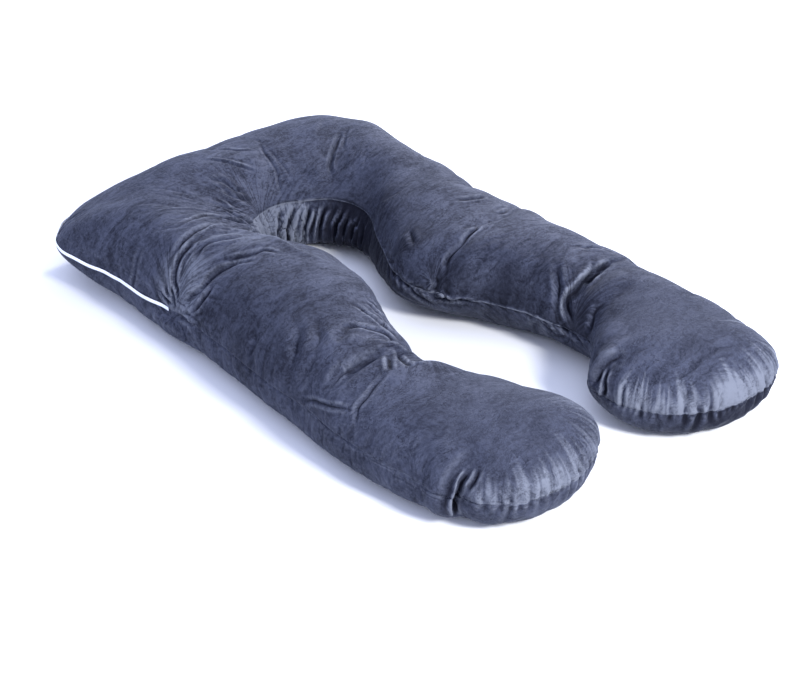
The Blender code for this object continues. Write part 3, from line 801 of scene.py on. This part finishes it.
zip_start, zip_end = (run_at(OUTER, place) for place in ZIP_PLACES)
rim_start, rim_end = (run_at(INNER, place) for place in RIM)
rim = ease(RUN["inner"], rim_start, rim_start + RIM_GROWS)
rim *= ease(-RUN["inner"], -rim_end, RIM_DIES - rim_end)
push = np.zeros(len(rim))
for name in paths:
    off = abs(OFF[name])
    groove = np.exp(-((off / GROOVE_WIDTH) ** GROOVE_POWER))
    lips = np.exp(-(((off - LIP_OFF) / LIP_WIDTH) ** 2))
    line = LIP_HEIGHT * lips - GROOVE_DEPTH * groove
    if name == "outer":
        beside = np.maximum(zip_start - RUN[name], RUN[name] - zip_end)
        line *= ease(beside, 0.0, ZIP_ENDS)
    else:
        line = line * (1 - rim) + rim * RIM_HEIGHT * np.exp(-((off / RIM_WIDTH) ** 2))
    push += line
push_out(cover, push)
settled = points_of(cover)
settled[:, 2] = np.maximum(settled[:, 2], 0)
set_points(cover, settled)
print("stitched; the zip runs from", round(zip_start, 2), "to", round(zip_end, 2), "m along the seam")

# %% [markdown]
# ## The velvet
#
# Crushed velvet is one dull slate blue, but its pile lies in brushed patches, wisps and flecks, and each lies
# at its own slant, so some throw back more light than others. The colour is therefore a mix of a dark and a
# light slate by three noises, the finer ones drawn out into strokes, with small crinkles in it and, round
# each pucker, fine lines pulled towards it, whose dark and pale sides are painted shade and highlight. The
# marks are made in two node groups, which the material then mixes.

# %% Shader helpers
MIX_A, MIX_B, MIX_RESULT = 6, 7, 2  # the colour sockets of a Mix node


def shader_node(tree, kind, values, output=0, **settings):
    """The output of a new shader node, its inputs linked or set to these values."""
    node = tree.nodes.new("ShaderNode" + kind)
    for name, value in settings.items():
        setattr(node, name, value)
    for name, value in values.items():
        if isinstance(value, bpy.types.NodeSocket):
            tree.links.new(value, node.inputs[name])
        elif value is not None:
            node.inputs[name].default_value = value
    return node.outputs[output]


def math_node(tree, operation, a, b, c=None, clamp=False):
    """A Math node; a, b and c are sockets or numbers."""
    return shader_node(tree, "Math", {0: a, 1: b, 2: c}, operation=operation, use_clamp=clamp)


def vector_node(tree, operation, a, b=None, output=0):
    """A Vector Math node; a and b are sockets or three numbers."""
    return shader_node(tree, "VectorMath", {0: a, 1: b}, output, operation=operation)


def noise_node(tree, place, scale, detail, roughness, distortion=0.0, output="Fac"):
    values = {"Vector": place, "Scale": scale, "Detail": detail}
    values |= {"Roughness": roughness, "Distortion": distortion}
    return shader_node(tree, "TexNoise", values, output)


def stretched(tree, place, turn, scale):
    """The place turned and scaled: a pattern is drawn out where the scale is small."""
    return shader_node(tree, "Mapping", {"Vector": place, "Rotation": turn, "Scale": scale})


def between(tree, value, low, high):
    """The value's place between low and high, from 0 to 1, smooth."""
    values = {"Value": value, "From Min": low, "From Max": high}
    return shader_node(tree, "MapRange", values, interpolation_type="SMOOTHSTEP")


def mix_colours(tree, share, a, b):
    """A blend of two colours, sockets or three numbers each: all a at 0, all b at 1."""
    a, b = (value if isinstance(value, bpy.types.NodeSocket) else (*value, 1) for value in (a, b))
    return shader_node(tree, "Mix", {0: share, MIX_A: a, MIX_B: b}, MIX_RESULT, data_type="RGBA")


def bumped(tree, height, strength, distance):
    return shader_node(tree, "Bump", {"Height": height, "Strength": strength, "Distance": distance})


def weighted(tree, terms, total):
    """The total with each term times its weight added."""
    for term, weight in terms:
        total = math_node(tree, "MULTIPLY_ADD", term, weight, total)
    return total


def new_group(name, inputs, outputs):
    """A shader node group, what it is given and what it gives. An input of None is a vector."""
    group = bpy.data.node_groups.new(name, "ShaderNodeTree")
    for label, value in inputs.items():
        kind = "NodeSocketVector" if value is None else "NodeSocketFloat"
        socket = group.interface.new_socket(label, in_out="INPUT", socket_type=kind)
        if value is not None:
            socket.default_value = value
    for label in outputs:
        group.interface.new_socket(label, in_out="OUTPUT", socket_type="NodeSocketFloat")
    given, out = group.nodes.new("NodeGroupInput"), group.nodes.new("NodeGroupOutput")
    return group, given.outputs, out.inputs


def use_group(tree, group, place, values):
    """The outputs of this group, looked up at this place."""
    node = tree.nodes.new("ShaderNodeGroup")
    node.node_tree = group
    tree.links.new(place, node.inputs["Vector"])
    for label, value in values.items():
        node.inputs[label].default_value = value
    return node.outputs


print("shader helpers: math, vectors, noise, ranges, colours, bump and groups")

# %% [markdown]
# ### The brushed pile
#
# The first group makes the marks of brushing: hazy patches a hand wide, wisps a finger wide in them, fine
# flecks and the nap of the pile itself, and also thin crinkles and soft ripples, whose dark and pale sides
# are painted shade and highlight as well as a bump. The place where each is looked up is first pushed about
# by a slow noise, so that nothing runs straight.

# %% The brushed pile
PILE_PARTS = ("Patches", "Wisps", "Flecks", "Crinkles", "Ripples", "Nap")
group, given, out = new_group(
    "brushed pile", {"Vector": None, "Patch Scale": 10.0, "Wisp Scale": 46.0}, PILE_PARTS
)
place = given["Vector"]
swirl = noise_node(group, place, 9.0, 2.0, 0.5, output="Color")
strayed = vector_node(group, "SUBTRACT", swirl, (0.5, 0.5, 0.5))
strayed = vector_node(group, "MULTIPLY", strayed, (0.05, 0.05, 0.05))
warped = vector_node(group, "ADD", place, strayed)
patches = noise_node(group, warped, given["Patch Scale"], 5.0, 0.62, 0.2)
# two sets of wisps, brushed two ways, each where the other is not
which = between(group, noise_node(group, place, 11.0, 3.0, 0.6), 0.42, 0.58)
strokes = [
    noise_node(group, stretched(group, warped, turn, squeeze), given["Wisp Scale"], 6.0, 0.70, 0.5)
    for turn, squeeze in (((0.2, 0.1, 0.6), (0.45, 1.5, 1.1)), ((-0.3, 0.2, -0.8), (0.50, 1.4, 1.1)))
]
wisps = math_node(group, "MULTIPLY", strokes[0], which)
wisps = math_node(group, "MULTIPLY_ADD", strokes[1], math_node(group, "SUBTRACT", 1.0, which), wisps)
flecks = noise_node(group, warped, 150.0, 4.0, 0.70, 0.3)
nap = noise_node(group, place, 620.0, 2.0, 0.6)
# crinkles: thin veins of a noise, each a dent in the bump with painted shade in it and a painted highlight on
# a paler edge beside it
veins = []
for turn, scale in (((0.5, 0.2, 0.3), 24.0), ((-0.2, 0.6, -1.0), 34.0)):
    vein = noise_node(group, stretched(group, warped, turn, (0.6, 1.3, 1.1)), scale, 4.0, 0.62, 0.6)
    bands = [
        math_node(group, "MULTIPLY", between(group, vein, *low), between(group, vein, *high))
        for low, high in (((0.476, 0.496), (0.508, 0.498)), ((0.498, 0.512), (0.545, 0.515)))
    ]
    spare = between(group, noise_node(group, place, scale * 0.4, 2.0, 0.5), 0.46, 0.60)
    dent_and_painted_shade = math_node(group, "MULTIPLY_ADD", bands[1], -0.6, bands[0])
    veins.append(math_node(group, "MULTIPLY", dent_and_painted_shade, spare))
crinkles = math_node(group, "ADD", *veins)
# ripples: soft rolls across the cloth, in places only, a bump with painted highlight and shade across each
# roll
drawn_out = stretched(group, warped, (0.0, 0.0, 0.35), (9.0, 34.0, 12.0))
ripples = between(group, noise_node(group, drawn_out, 1.0, 3.0, 0.55, 0.5), 0.36, 0.64)
where = between(group, noise_node(group, place, 6.0, 2.0, 0.5), 0.42, 0.60)
ripples = math_node(group, "MULTIPLY_ADD", math_node(group, "SUBTRACT", ripples, 0.5), where, 0.5)
for label, socket in zip(PILE_PARTS, (patches, wisps, flecks, crinkles, ripples, nap)):
    group.links.new(socket, out[label])
BRUSHED_PILE = group
print("group:", BRUSHED_PILE.name, "with", len(BRUSHED_PILE.nodes), "nodes")

# %% [markdown]
# ### The pulled lines
#
# The second group makes fine lines that spread out from a place where the cloth is pulled together, a bump
# with painted shade and highlight along each line. They are a noise looked up by direction, so that it is
# drawn out along each ray.

# %% The pulled lines
group, given, out = new_group(
    "pulled lines", {"Vector": None, "Centre": None, "Reach": 0.1, "Spokes": 10.0}, ("Lines",)
)
gap = vector_node(group, "SUBTRACT", given["Vector"], given["Centre"])
flat_gap = vector_node(group, "MULTIPLY", gap, (1.0, 1.0, 0.0))
radius = vector_node(group, "LENGTH", flat_gap, output="Value")
way = vector_node(group, "NORMALIZE", flat_gap)
spoke = shader_node(group, "VectorMath", {0: way, "Scale": given["Spokes"]}, operation="SCALE")
spoke = vector_node(group, "ADD", spoke, vector_node(group, "MULTIPLY", gap, (9.0, 9.0, 9.0)))
lines = between(group, noise_node(group, spoke, 1.0, 3.0, 0.65), 0.40, 0.60)
values = {"Value": radius, "From Max": given["Reach"], "To Min": 1.0, "To Max": 0.0}
fade = shader_node(group, "MapRange", values, interpolation_type="SMOOTHSTEP")
lines = math_node(group, "MULTIPLY", math_node(group, "SUBTRACT", lines, 0.5), fade)
group.links.new(lines, out["Lines"])
PULLED_LINES = group
print("group:", PULLED_LINES.name, "with", len(PULLED_LINES.nodes), "nodes")

# %% [markdown]
# ### Painted highlights and shade
#
# The painted light and shade are worked out on the mesh: a ridge gets a painted highlight and a trough
# painted shade, the ends of the feet, part of the hollow's wall and the inside of the far leg get a painted
# silver sheen, the seams a thin painted highlight, and a few places get painted shade, most of them on the
# far side of the hollow, or a painted highlight. A ridge is found as a place that stands out from the
# smoothed cover.

# %% Paint highlights and shade on the velvet
PAINTED_LIGHT_WAY = np.array((0.30, -0.80, 0.52)) / np.linalg.norm((0.30, -0.80, 0.52))  # the way that the painted light comes from
TURNED_AWAY = (-0.85, -0.1)  # painted shade falls on the upper panel only where it turns this far away from that way
# painted silver sheen: seam, from and to places in plan, how far off the seam it reaches at each (down is
# negative), amount
PAINTED_SHEEN_PATCHES = (
    ("outer", (-0.335, -0.596), (-0.205, -0.664), 0.034, 0.044, 0.60),
    ("inner", (-0.205, -0.664), (-0.032, -0.515), 0.044, 0.074, 0.52),
    ("inner", (0.062, -0.560), (0.255, -0.706), 0.036, 0.048, 0.80),
    ("outer", (0.424, -0.588), (0.255, -0.706), 0.064, 0.048, 0.75),
    ("inner", (-0.070, 0.378), (0.065, 0.375), -0.150, -0.150, 0.75),
    ("inner", (0.065, 0.375), (0.100, 0.355), -0.150, -0.150, 0.20),
    ("inner", (0.150, -0.250), (0.110, -0.440), -0.080, -0.080, 0.30),
)
# painted shade, or a painted highlight below 0: place in plan, reach, amount on the upper panel and on the
# lower
PAINTED_SHADE_AND_HIGHLIGHT_PLACES = (
    ((0.130, 0.250), 0.16, 0.35, 1.3),
    ((0.070, 0.090), 0.12, 0.30, 1.0),
    ((0.190, -0.350), 0.10, 0.60, 0.3),
    ((0.130, -0.150), 0.12, 0.45, 0.3),
    ((0.240, -0.680), 0.22, 0.00, 0.9),
    ((-0.365, 0.215), 0.09, -0.80, 0.0),
    ((0.175, -0.195), 0.10, 0.40, 0.0),
    ((0.085, 0.035), 0.05, 0.55, 0.0),
    ((0.070, -0.075), 0.04, 0.60, 0.0),
    ((0.270, -0.500), 0.18, 0.15, 0.0),
    ((-0.200, 0.240), 0.12, -0.60, 0.0),
    ((-0.030, 0.500), 0.10, -0.40, 0.0),
    ((-0.330, -0.020), 0.20, 0.30, 0.2),
)
PAINTED_CORE_SHARE = 0.3  # the share of the reach that takes the full painted shade or highlight
SMOOTH_PLACES = (((-0.190, -0.490), 0.18), ((0.270, -0.500), 0.18))  # the feet, where the pile lies evenly
STROKE = 0.010  # width of the strokes that the painted sheen patches end in
STROKE_NOISE = ((0.4, 0.5), (1, 0.8), (3, 0.8))  # how often they come, and how strong
STROKE_REACH, REACH_LIMITS, STROKE_TONE = 0.55, (0.3, 1.9), 0.60  # what they do to reach and tone
SILVER_FADE, SILVER_SOFT = (0.40, 1.30), 0.004  # it fades over this part of its reach, and a bit more
SILVER_MARGIN = 0.02  # and past its ends it fades over this
PAINTED_SEAM_HIGHLIGHT, PAINTED_RIM_HIGHLIGHT, SHINE_WIDTH = 0.40, 1.10, 0.0022  # a painted highlight on the cloth's folded edge along the stitches, and on the rim
SHINE_MEAN, SHINE_WAVER, SHINE_STEP = 0.6, 0.6, 0.03  # how it comes and goes along the seam
FOLD_PASSES, BODY_PASSES = 3, 50  # smoothing passes that flatten the folds, and the swells they lie on
FOLD_DEPTH, MOST_FOLD = 0.0007, 2.0  # what counts as one fold, and the most that counts
PAINTED_RIDGE_HIGHLIGHT, PAINTED_TROUGH_SHADE = 0.70, 0.75  # a painted highlight on each ridge and painted shade in each trough

points, normals = points_of(cover), normals_of(cover)
# painted light from the folds: a ridge stands out from the smoothed cover and gets a painted highlight, a
# trough gets painted shade
fold = ((neighbour_mean(cover, points, FOLD_PASSES) - points) * normals).sum(axis=1)
fold -= neighbour_mean(cover, fold[:, None], BODY_PASSES)[:, 0]
fold /= FOLD_DEPTH
painted_highlight_and_shade = PAINTED_RIDGE_HIGHLIGHT * np.clip(-fold, 0, MOST_FOLD) - PAINTED_TROUGH_SHADE * np.clip(fold, 0, MOST_FOLD)
# painted silver sheen along the seams at the ends of the feet, on part of the hollow's wall and on the inside
# of the far leg
for name, first, last, reach_first, reach_last, amount in PAINTED_SHEEN_PATCHES:
    run, off = RUN[name], OFF[name]
    start, end = run_at(paths[name], first), run_at(paths[name], last)
    low, high = min(start, end), max(start, end)
    beside = (run > low - SILVER_MARGIN) & (run < high + SILVER_MARGIN)
    near = np.flatnonzero(beside & (off * reach_first > -1e-9))
    along = np.clip((run[near] - start) / (end - start), 0, 1)
    strokes = sum(
        share * smooth_noise(run[near] / STROKE * often, 3 + often)
        for often, share in STROKE_NOISE
    )
    reach = abs(reach_first + (reach_last - reach_first) * along)
    reach *= np.clip(1 + STROKE_REACH * strokes, *REACH_LIMITS)
    fade = 1 - ease(abs(off[near]), SILVER_FADE[0] * reach, SILVER_FADE[1] * reach + SILVER_SOFT)
    fade *= 1 - ease(np.maximum(low - run[near], run[near] - high), 0.0, SILVER_MARGIN)
    painted_highlight_and_shade[near] += amount * fade * (1 + STROKE_TONE * strokes)
lower = np.where(abs(OFF["inner"]) < abs(OFF["outer"]), OFF["inner"], OFF["outer"]) < 0
# painted shade: the lower panel takes it all, the upper panel only where it faces away from the painted light
away = np.where(lower, 1.0, ease(-(normals @ PAINTED_LIGHT_WAY), *TURNED_AWAY))
for place, reach, above, below in PAINTED_SHADE_AND_HIGHLIGHT_PLACES:
    amount = np.where(lower, below, above) * away
    painted_highlight_and_shade -= amount * (1 - ease(np.linalg.norm(points[:, :2] - place, axis=1), PAINTED_CORE_SHARE * reach, reach))
smooth = sum(np.exp(-((points[:, :2] - place) ** 2).sum(axis=1) / reach**2) for place, reach in SMOOTH_PLACES)
keep_numbers(cover, "smooth", smooth)
# a painted highlight along both seams, brighter on the inner seam's rim
for name in paths:
    near = np.flatnonzero(abs(OFF[name]) < 3 * SHINE_WIDTH)
    uneven = SHINE_MEAN + SHINE_WAVER * smooth_noise(RUN[name][near] / SHINE_STEP, 8)
    shine = PAINTED_SEAM_HIGHLIGHT * np.clip(uneven, 0, 1)
    if name == "inner":
        shine += PAINTED_RIM_HIGHLIGHT * rim[near]
    painted_highlight_and_shade[near] += shine * np.exp(-((OFF[name][near] / SHINE_WIDTH) ** 2))
keep_numbers(cover, "painted_highlight_and_shade", painted_highlight_and_shade)
# prints the range of the painted highlight and shade
print("pile laid: lie from", round(painted_highlight_and_shade.min(), 1), "to", round(painted_highlight_and_shade.max(), 1))

# %% [markdown]
# ### The material
#
# The marks add up to a share of light slate, and the painted shade then darkens it and the painted highlight
# silvers it. The pile itself is too fine to model: a small bump gives it, and the shader's sheen gives the
# bloom where the cloth turns away.

# %% The velvet itself
# the colour of painted shade
PAINTED_SHADE_COLOUR = (0.0035, 0.004, 0.009)
VELVET_DARK, VELVET_LIGHT = (0.0110, 0.0125, 0.0212), (0.0465, 0.0525, 0.0790)
# the colour of the painted silver sheen
PAINTED_SHEEN_COLOUR = (0.124, 0.134, 0.163)
VELVET = {
    "Sheen Weight": 0.07, "Sheen Roughness": 0.38, "Sheen Tint": (0.72, 0.80, 1.0, 1),
    "Specular IOR Level": 0.10,
}
MARK_LIMITS = {"Patches": (0.38, 0.62), "Wisps": (0.41, 0.59), "Flecks": (0.41, 0.59)}
# how much of the light slate each mark adds, before and after the feet are evened out; for the crinkles,
# ripples and pulled lines this is painted shade and highlight
MARK_TONES = (("Patches", 0.32), ("Wisps", 0.34), ("Flecks", 0.38), ("Crinkles", -0.45))
LINE_TONES = (("Pulled", 0.85), ("Ripples", 0.40), ("Nap", 0.90))
MARK_HEIGHTS = (  # how far each stands up, as shares of the bump's height
    ("Nap", 0.35), ("Wisps", 0.7), ("Crinkles", -0.6), ("Flecks", 0.25), ("Pulled", 1.2), ("Ripples", 1.6),
)
EVENED = 0.45  # the share of the marks' contrast that the even pile of the feet takes away
PAINTED_SHADE_STRENGTH = 0.85  # how far towards the painted shade colour a value of -1 goes
PAINTED_SHEEN_GAIN, PAINTED_SHEEN_BASE = 0.9, 0.35  # a value of 1 turns to painted sheen by the share of light slate times this, and a base
ROUGH, LESS_ROUGH = 0.86, 0.22  # the roughness of the dark slate, and how much less the light one has
BUMP, BUMP_HEIGHT = 0.45, 0.0015  # the bump's strength, and how far it stands up
PULLED_PLACES = (  # centre, reach, how close the lines lie
    ((-0.050, 0.378, 0.110), 0.22, 14.0),
    ((-0.388, 0.225, 0.090), 0.20, 12.0),
    ((-0.160, -0.290, 0.090), 0.15, 10.0),
    ((0.048, 0.050, 0.100), 0.08, 10.0),
    ((0.045, -0.070, 0.095), 0.06, 10.0),
    ((0.165, -0.345, 0.090), 0.13, 10.0),
)

velvet, tree, shader = new_material("slate velvet", VELVET)
coordinates = tree.nodes.new("ShaderNodeTexCoord").outputs["Object"]
pile = use_group(tree, BRUSHED_PILE, coordinates, {})
painted_highlight_and_shade, evenness = (
    shader_node(tree, "Attribute", {}, "Fac", attribute_name=name) for name in ("painted_highlight_and_shade", "smooth")
)
pulled = None
for centre, reach, spokes in PULLED_PLACES:
    values = {"Centre": centre, "Reach": reach, "Spokes": spokes}
    more = use_group(tree, PULLED_LINES, coordinates, values)["Lines"]
    pulled = more if pulled is None else math_node(tree, "ADD", pulled, more)
marks = {name: between(tree, pile[name], *limits) for name, limits in MARK_LIMITS.items()}
marks |= {"Crinkles": pile["Crinkles"], "Pulled": pulled}
share = weighted(tree, [(marks[name], weight) for name, weight in MARK_TONES], 0.0)
contrast = math_node(tree, "MULTIPLY_ADD", evenness, -EVENED, 1.0)
share = math_node(tree, "MULTIPLY_ADD", math_node(tree, "SUBTRACT", share, 0.5), contrast, 0.5)
marks |= {name: math_node(tree, "SUBTRACT", pile[name], 0.5) for name in ("Ripples", "Nap")}
share = weighted(tree, [(marks[name], weight) for name, weight in LINE_TONES], share)
share.node.use_clamp = True
marks |= {"Ripples": pile["Ripples"], "Nap": pile["Nap"]}
height = weighted(tree, [(marks[name], weight) for name, weight in MARK_HEIGHTS], 0.0)
slate = mix_colours(tree, share, VELVET_DARK, VELVET_LIGHT)
# painted shade darkens the slate towards its dark colour
slate = mix_colours(tree, math_node(tree, "MULTIPLY", painted_highlight_and_shade, -PAINTED_SHADE_STRENGTH, clamp=True), slate, PAINTED_SHADE_COLOUR)
# a painted highlight turns the slate towards the painted silver sheen
painted_sheen = math_node(tree, "MULTIPLY_ADD", share, PAINTED_SHEEN_GAIN, PAINTED_SHEEN_BASE)
painted_sheen = math_node(tree, "MULTIPLY", painted_highlight_and_shade, painted_sheen, clamp=True)
tree.links.new(mix_colours(tree, painted_sheen, slate, PAINTED_SHEEN_COLOUR), shader["Base Color"])
tree.links.new(math_node(tree, "MULTIPLY_ADD", share, -LESS_ROUGH, ROUGH), shader["Roughness"])
tree.links.new(bumped(tree, height, BUMP, BUMP_HEIGHT), shader["Normal"])
cover.data.materials.clear()
cover.data.materials.append(velvet)
print("material:", velvet.name)

# %% [markdown]
# ## The zip
#
# The zip is a white woven tape with a fine nylon coil down its middle, sewn into the outer
# seam from the puckered place on the near leg, past the near corner of the head and a little
# way along its back. A strip that bends both ways is hard to model in place, so the tape is
# modelled straight and the Curve modifier then bends it along the seam. Its line is found by
# looking at the cover from outside, behind the tape's middle and both its edges, so that the
# tape lies on the cloth and not in it.

# %% The line of the zip
TAPE_WIDTH = 0.0076
ZIP_STEP = 0.006  # from point to point of its line
ZIP_PROUD = 0.0008  # how far the tape stands off the cloth
LOOK_FROM = 0.05  # how far outside the seam the search for the cloth starts
ZIP_RISE, ZIP_RISE_PLACE, ZIP_RISE_REACH = 0.008, (-0.417, 0.630), 0.14  # it rides up over the corner
ZIP_WAVE, ZIP_WAVE_LENGTH = 0.0010, 0.085  # and it waves a little

at = np.arange(zip_start, zip_end, ZIP_STEP)
line = along_path(OUTER, at)
line[:, 2] += ZIP_WAVE * np.sin(2 * math.pi * at / ZIP_WAVE_LENGTH)
beside = np.linalg.norm(line[:, :2] - ZIP_RISE_PLACE, axis=1) / ZIP_RISE_REACH
line[:, 2] += ZIP_RISE * np.exp(-(beside**2))
outward = np.cross((0, 0, 1), np.gradient(line, axis=0))
outward /= np.linalg.norm(outward, axis=1)[:, None]


def outermost(point, out):
    """How far out the cover reaches behind the tape's middle and both its edges."""
    found = []
    for rise in (-TAPE_WIDTH / 2, 0.0, TAPE_WIDTH / 2):
        start = point + out * LOOK_FROM + (0.0, 0.0, rise)
        hit, place, _, _ = cover.ray_cast(Vector(start), Vector(-out))
        found.append((np.array(place) - point) @ out if hit else 0.0)
    return max(found)


reach = np.array([outermost(point, out) for point, out in zip(line, outward)])
reach = np.convolve(np.pad(reach, 2, mode="edge"), np.ones(5) / 5, mode="valid")
line += outward * (reach + ZIP_PROUD)[:, None]
guide_data = bpy.data.curves.new("zip line", "CURVE")
guide_data.dimensions = "3D"
guide_data.twist_mode = "Z_UP"
spline = guide_data.splines.new("POLY")
spline.points.add(len(line) - 1)
for knot, place in zip(spline.points, line):
    knot.co = (*place, 1)
guide = bpy.data.objects.new("zip line", guide_data)
bpy.context.scene.collection.objects.link(guide)
ZIP_LENGTH = run_of(line)[-1]
print("zip line:", round(float(ZIP_LENGTH), 3), "m")

# %% [markdown]
# ### The tape
#
# A thin strip is cut across near both ends, where it narrows into the seam, and cut many times
# along its length so that it can bend. It keeps flat texture coordinates, in metres, from
# before it is bent, and its weave follows those.

# %% Model the tape
TAPE_THICKNESS = 0.0014
TAPE_TAPER = 0.045  # length over which it narrows at each end
TAPE_END = (1, 0.6, 0.2)  # how small its section is there
TAPE_CUTS = 70  # cuts across each of its three stretches
TAPE_EDGE = 0.0004  # how far its edges are rounded


def select_where(piece, test):
    """In edit mode, selects the points that pass the test, and the edges and faces between them."""
    mesh = bmesh.from_edit_mesh(piece.data)
    for vertex in mesh.verts:
        vertex.select_set(bool(test(vertex.co)))
    mesh.select_flush_mode()
    for edge in mesh.edges:
        edge.select_set(all(v.select for v in edge.verts))
    bmesh.update_edit_mesh(piece.data)


def bend_along(piece, guide):
    """Bends a straight piece, which lies along X, so that it follows the guide."""
    bend = piece.modifiers.new("bend", "CURVE")
    bend.object = guide
    bend.deform_axis = "POS_X"
    apply_modifiers(piece)


deselect()
bpy.ops.mesh.primitive_cube_add(size=1, location=(ZIP_LENGTH / 2, 0, 0))
zip_tape = bpy.context.object
zip_tape.name = "zip_tape"
zip_tape.scale = (ZIP_LENGTH, TAPE_THICKNESS, TAPE_WIDTH)
bpy.ops.object.transform_apply(location=True, rotation=False, scale=True)
bpy.ops.object.mode_set(mode="EDIT")
for place in (TAPE_TAPER, ZIP_LENGTH - TAPE_TAPER):
    bpy.ops.mesh.select_all(action="SELECT")
    bpy.ops.mesh.bisect(plane_co=(place, 0, 0), plane_no=(1, 0, 0))
for end in (0.0, ZIP_LENGTH):
    select_where(zip_tape, lambda co: abs(co.x - end) < 1e-4)
    bpy.ops.transform.resize(value=TAPE_END)
mesh = bmesh.from_edit_mesh(zip_tape.data)
for edge in mesh.edges:
    edge.select_set(abs(edge.verts[0].co.x - edge.verts[1].co.x) > 1e-3)
bmesh.update_edit_mesh(zip_tape.data)
bpy.ops.mesh.subdivide(number_cuts=TAPE_CUTS)
bpy.ops.object.mode_set(mode="OBJECT")
soft = zip_tape.modifiers.new("soft edges", "BEVEL")
soft.width = TAPE_EDGE
soft.segments = 2
apply_modifiers(zip_tape)
flat = zip_tape.data.uv_layers.active.data
for loop in zip_tape.data.loops:
    co = zip_tape.data.vertices[loop.vertex_index].co
    flat[loop.index].uv = (co.x, co.z)
bend_along(zip_tape, guide)
bpy.ops.object.shade_smooth_by_angle(angle=math.radians(40))
print("zip tape:", len(zip_tape.data.polygons), "faces")

# %% [markdown]
# ### The coil
#
# A coil zip is a nylon wire wound in tight loops, so that closed it shows a row of short bars
# across the tape. One bar is modelled, as a rod whose ends turn down into the tape, and an
# Array modifier repeats it before the whole row is bent.

# %% Model the coil
BAR_PITCH, BAR_LENGTH, BAR_RADIUS = 0.0017, 0.0042, 0.0005
BAR_STRAIGHT = 0.3  # the share of its length that stays straight on each side of its middle
BAR_DROP, BAR_SPREAD = 0.0005, 0.0003  # how far its ends turn down, and outwards

deselect()
bpy.ops.mesh.primitive_cylinder_add(
    vertices=8, radius=BAR_RADIUS, depth=BAR_LENGTH, location=(TAPE_TAPER, TAPE_THICKNESS / 2, 0)
)
zip_coil = bpy.context.object
zip_coil.name = "zip_coil"
bpy.ops.object.transform_apply(location=True, rotation=False, scale=False)
bpy.ops.object.mode_set(mode="EDIT")
for height in (-BAR_STRAIGHT * BAR_LENGTH, BAR_STRAIGHT * BAR_LENGTH):
    bpy.ops.mesh.select_all(action="SELECT")
    bpy.ops.mesh.bisect(plane_co=(0, 0, height), plane_no=(0, 0, 1))
for side in (-1, 1):
    select_where(zip_coil, lambda co: co.z * side > 0.4 * BAR_LENGTH)
    bpy.ops.transform.translate(value=(side * BAR_SPREAD, -BAR_DROP, 0))
bpy.ops.object.mode_set(mode="OBJECT")
row = zip_coil.modifiers.new("row", "ARRAY")
row.use_relative_offset = False
row.use_constant_offset = True
row.constant_offset_displace = (BAR_PITCH, 0, 0)
row.count = int((ZIP_LENGTH - 2 * TAPE_TAPER) / BAR_PITCH)
apply_modifiers(zip_coil)
bend_along(zip_coil, guide)
bpy.ops.object.shade_smooth_by_angle(angle=math.radians(40))
bpy.data.objects.remove(guide)
print("zip coil:", len(zip_coil.data.polygons), "faces")

# %% [markdown]
# ### White nylon
#
# Both parts are white nylon. The tape is woven in fine ribs, so its colour and its bump follow
# two sets of bands in the flat coordinates, blurred by noise where it has been handled. The
# coil is a bare wire: smoother, with only a faint unevenness.

# %% Nylon
TAPE_WHITE, TAPE_SHADE = (0.90, 0.92, 0.97), (0.66, 0.70, 0.80)
WIRE_WHITE, WIRE_SHADE = (0.92, 0.94, 0.98), (0.78, 0.82, 0.90)
RIB_SCALE = 420.0

nylon, tree, shader = new_material("woven white nylon", {"Roughness": 0.6})
flat = tree.nodes.new("ShaderNodeUVMap").outputs["UV"]
bands = [
    shader_node(
        tree, "TexWave", {"Vector": flat, "Scale": scale, "Distortion": 0.6}, "Fac", bands_direction=way
    )
    for way, scale in (("X", RIB_SCALE), ("Y", RIB_SCALE * 0.7))
]
weave = math_node(tree, "MULTIPLY", *bands)
worn = math_node(tree, "MULTIPLY", noise_node(tree, flat, 60.0, 3.0, 0.6), 0.9)
tone = math_node(tree, "MULTIPLY_ADD", weave, 0.45, worn, clamp=True)
tree.links.new(mix_colours(tree, tone, TAPE_SHADE, TAPE_WHITE), shader["Base Color"])
tree.links.new(bumped(tree, weave, 0.4, 0.0003), shader["Normal"])

wire, tree, shader = new_material("white nylon wire", {})
coordinates = tree.nodes.new("ShaderNodeTexCoord").outputs["Object"]
uneven = noise_node(tree, coordinates, 240.0, 2.0, 0.5)
tree.links.new(mix_colours(tree, uneven, WIRE_SHADE, WIRE_WHITE), shader["Base Color"])
tree.links.new(math_node(tree, "MULTIPLY_ADD", uneven, 0.2, 0.25), shader["Roughness"])
zip_tape.data.materials.clear()
zip_tape.data.materials.append(nylon)
zip_coil.data.materials.append(wire)
print("materials:", nylon.name, "and", wire.name)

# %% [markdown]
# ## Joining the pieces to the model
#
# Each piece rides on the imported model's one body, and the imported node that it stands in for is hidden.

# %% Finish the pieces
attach(cover, "root")
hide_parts("pillow")
for piece in (zip_tape, zip_coil):
    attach(piece, "root")
    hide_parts("zip")
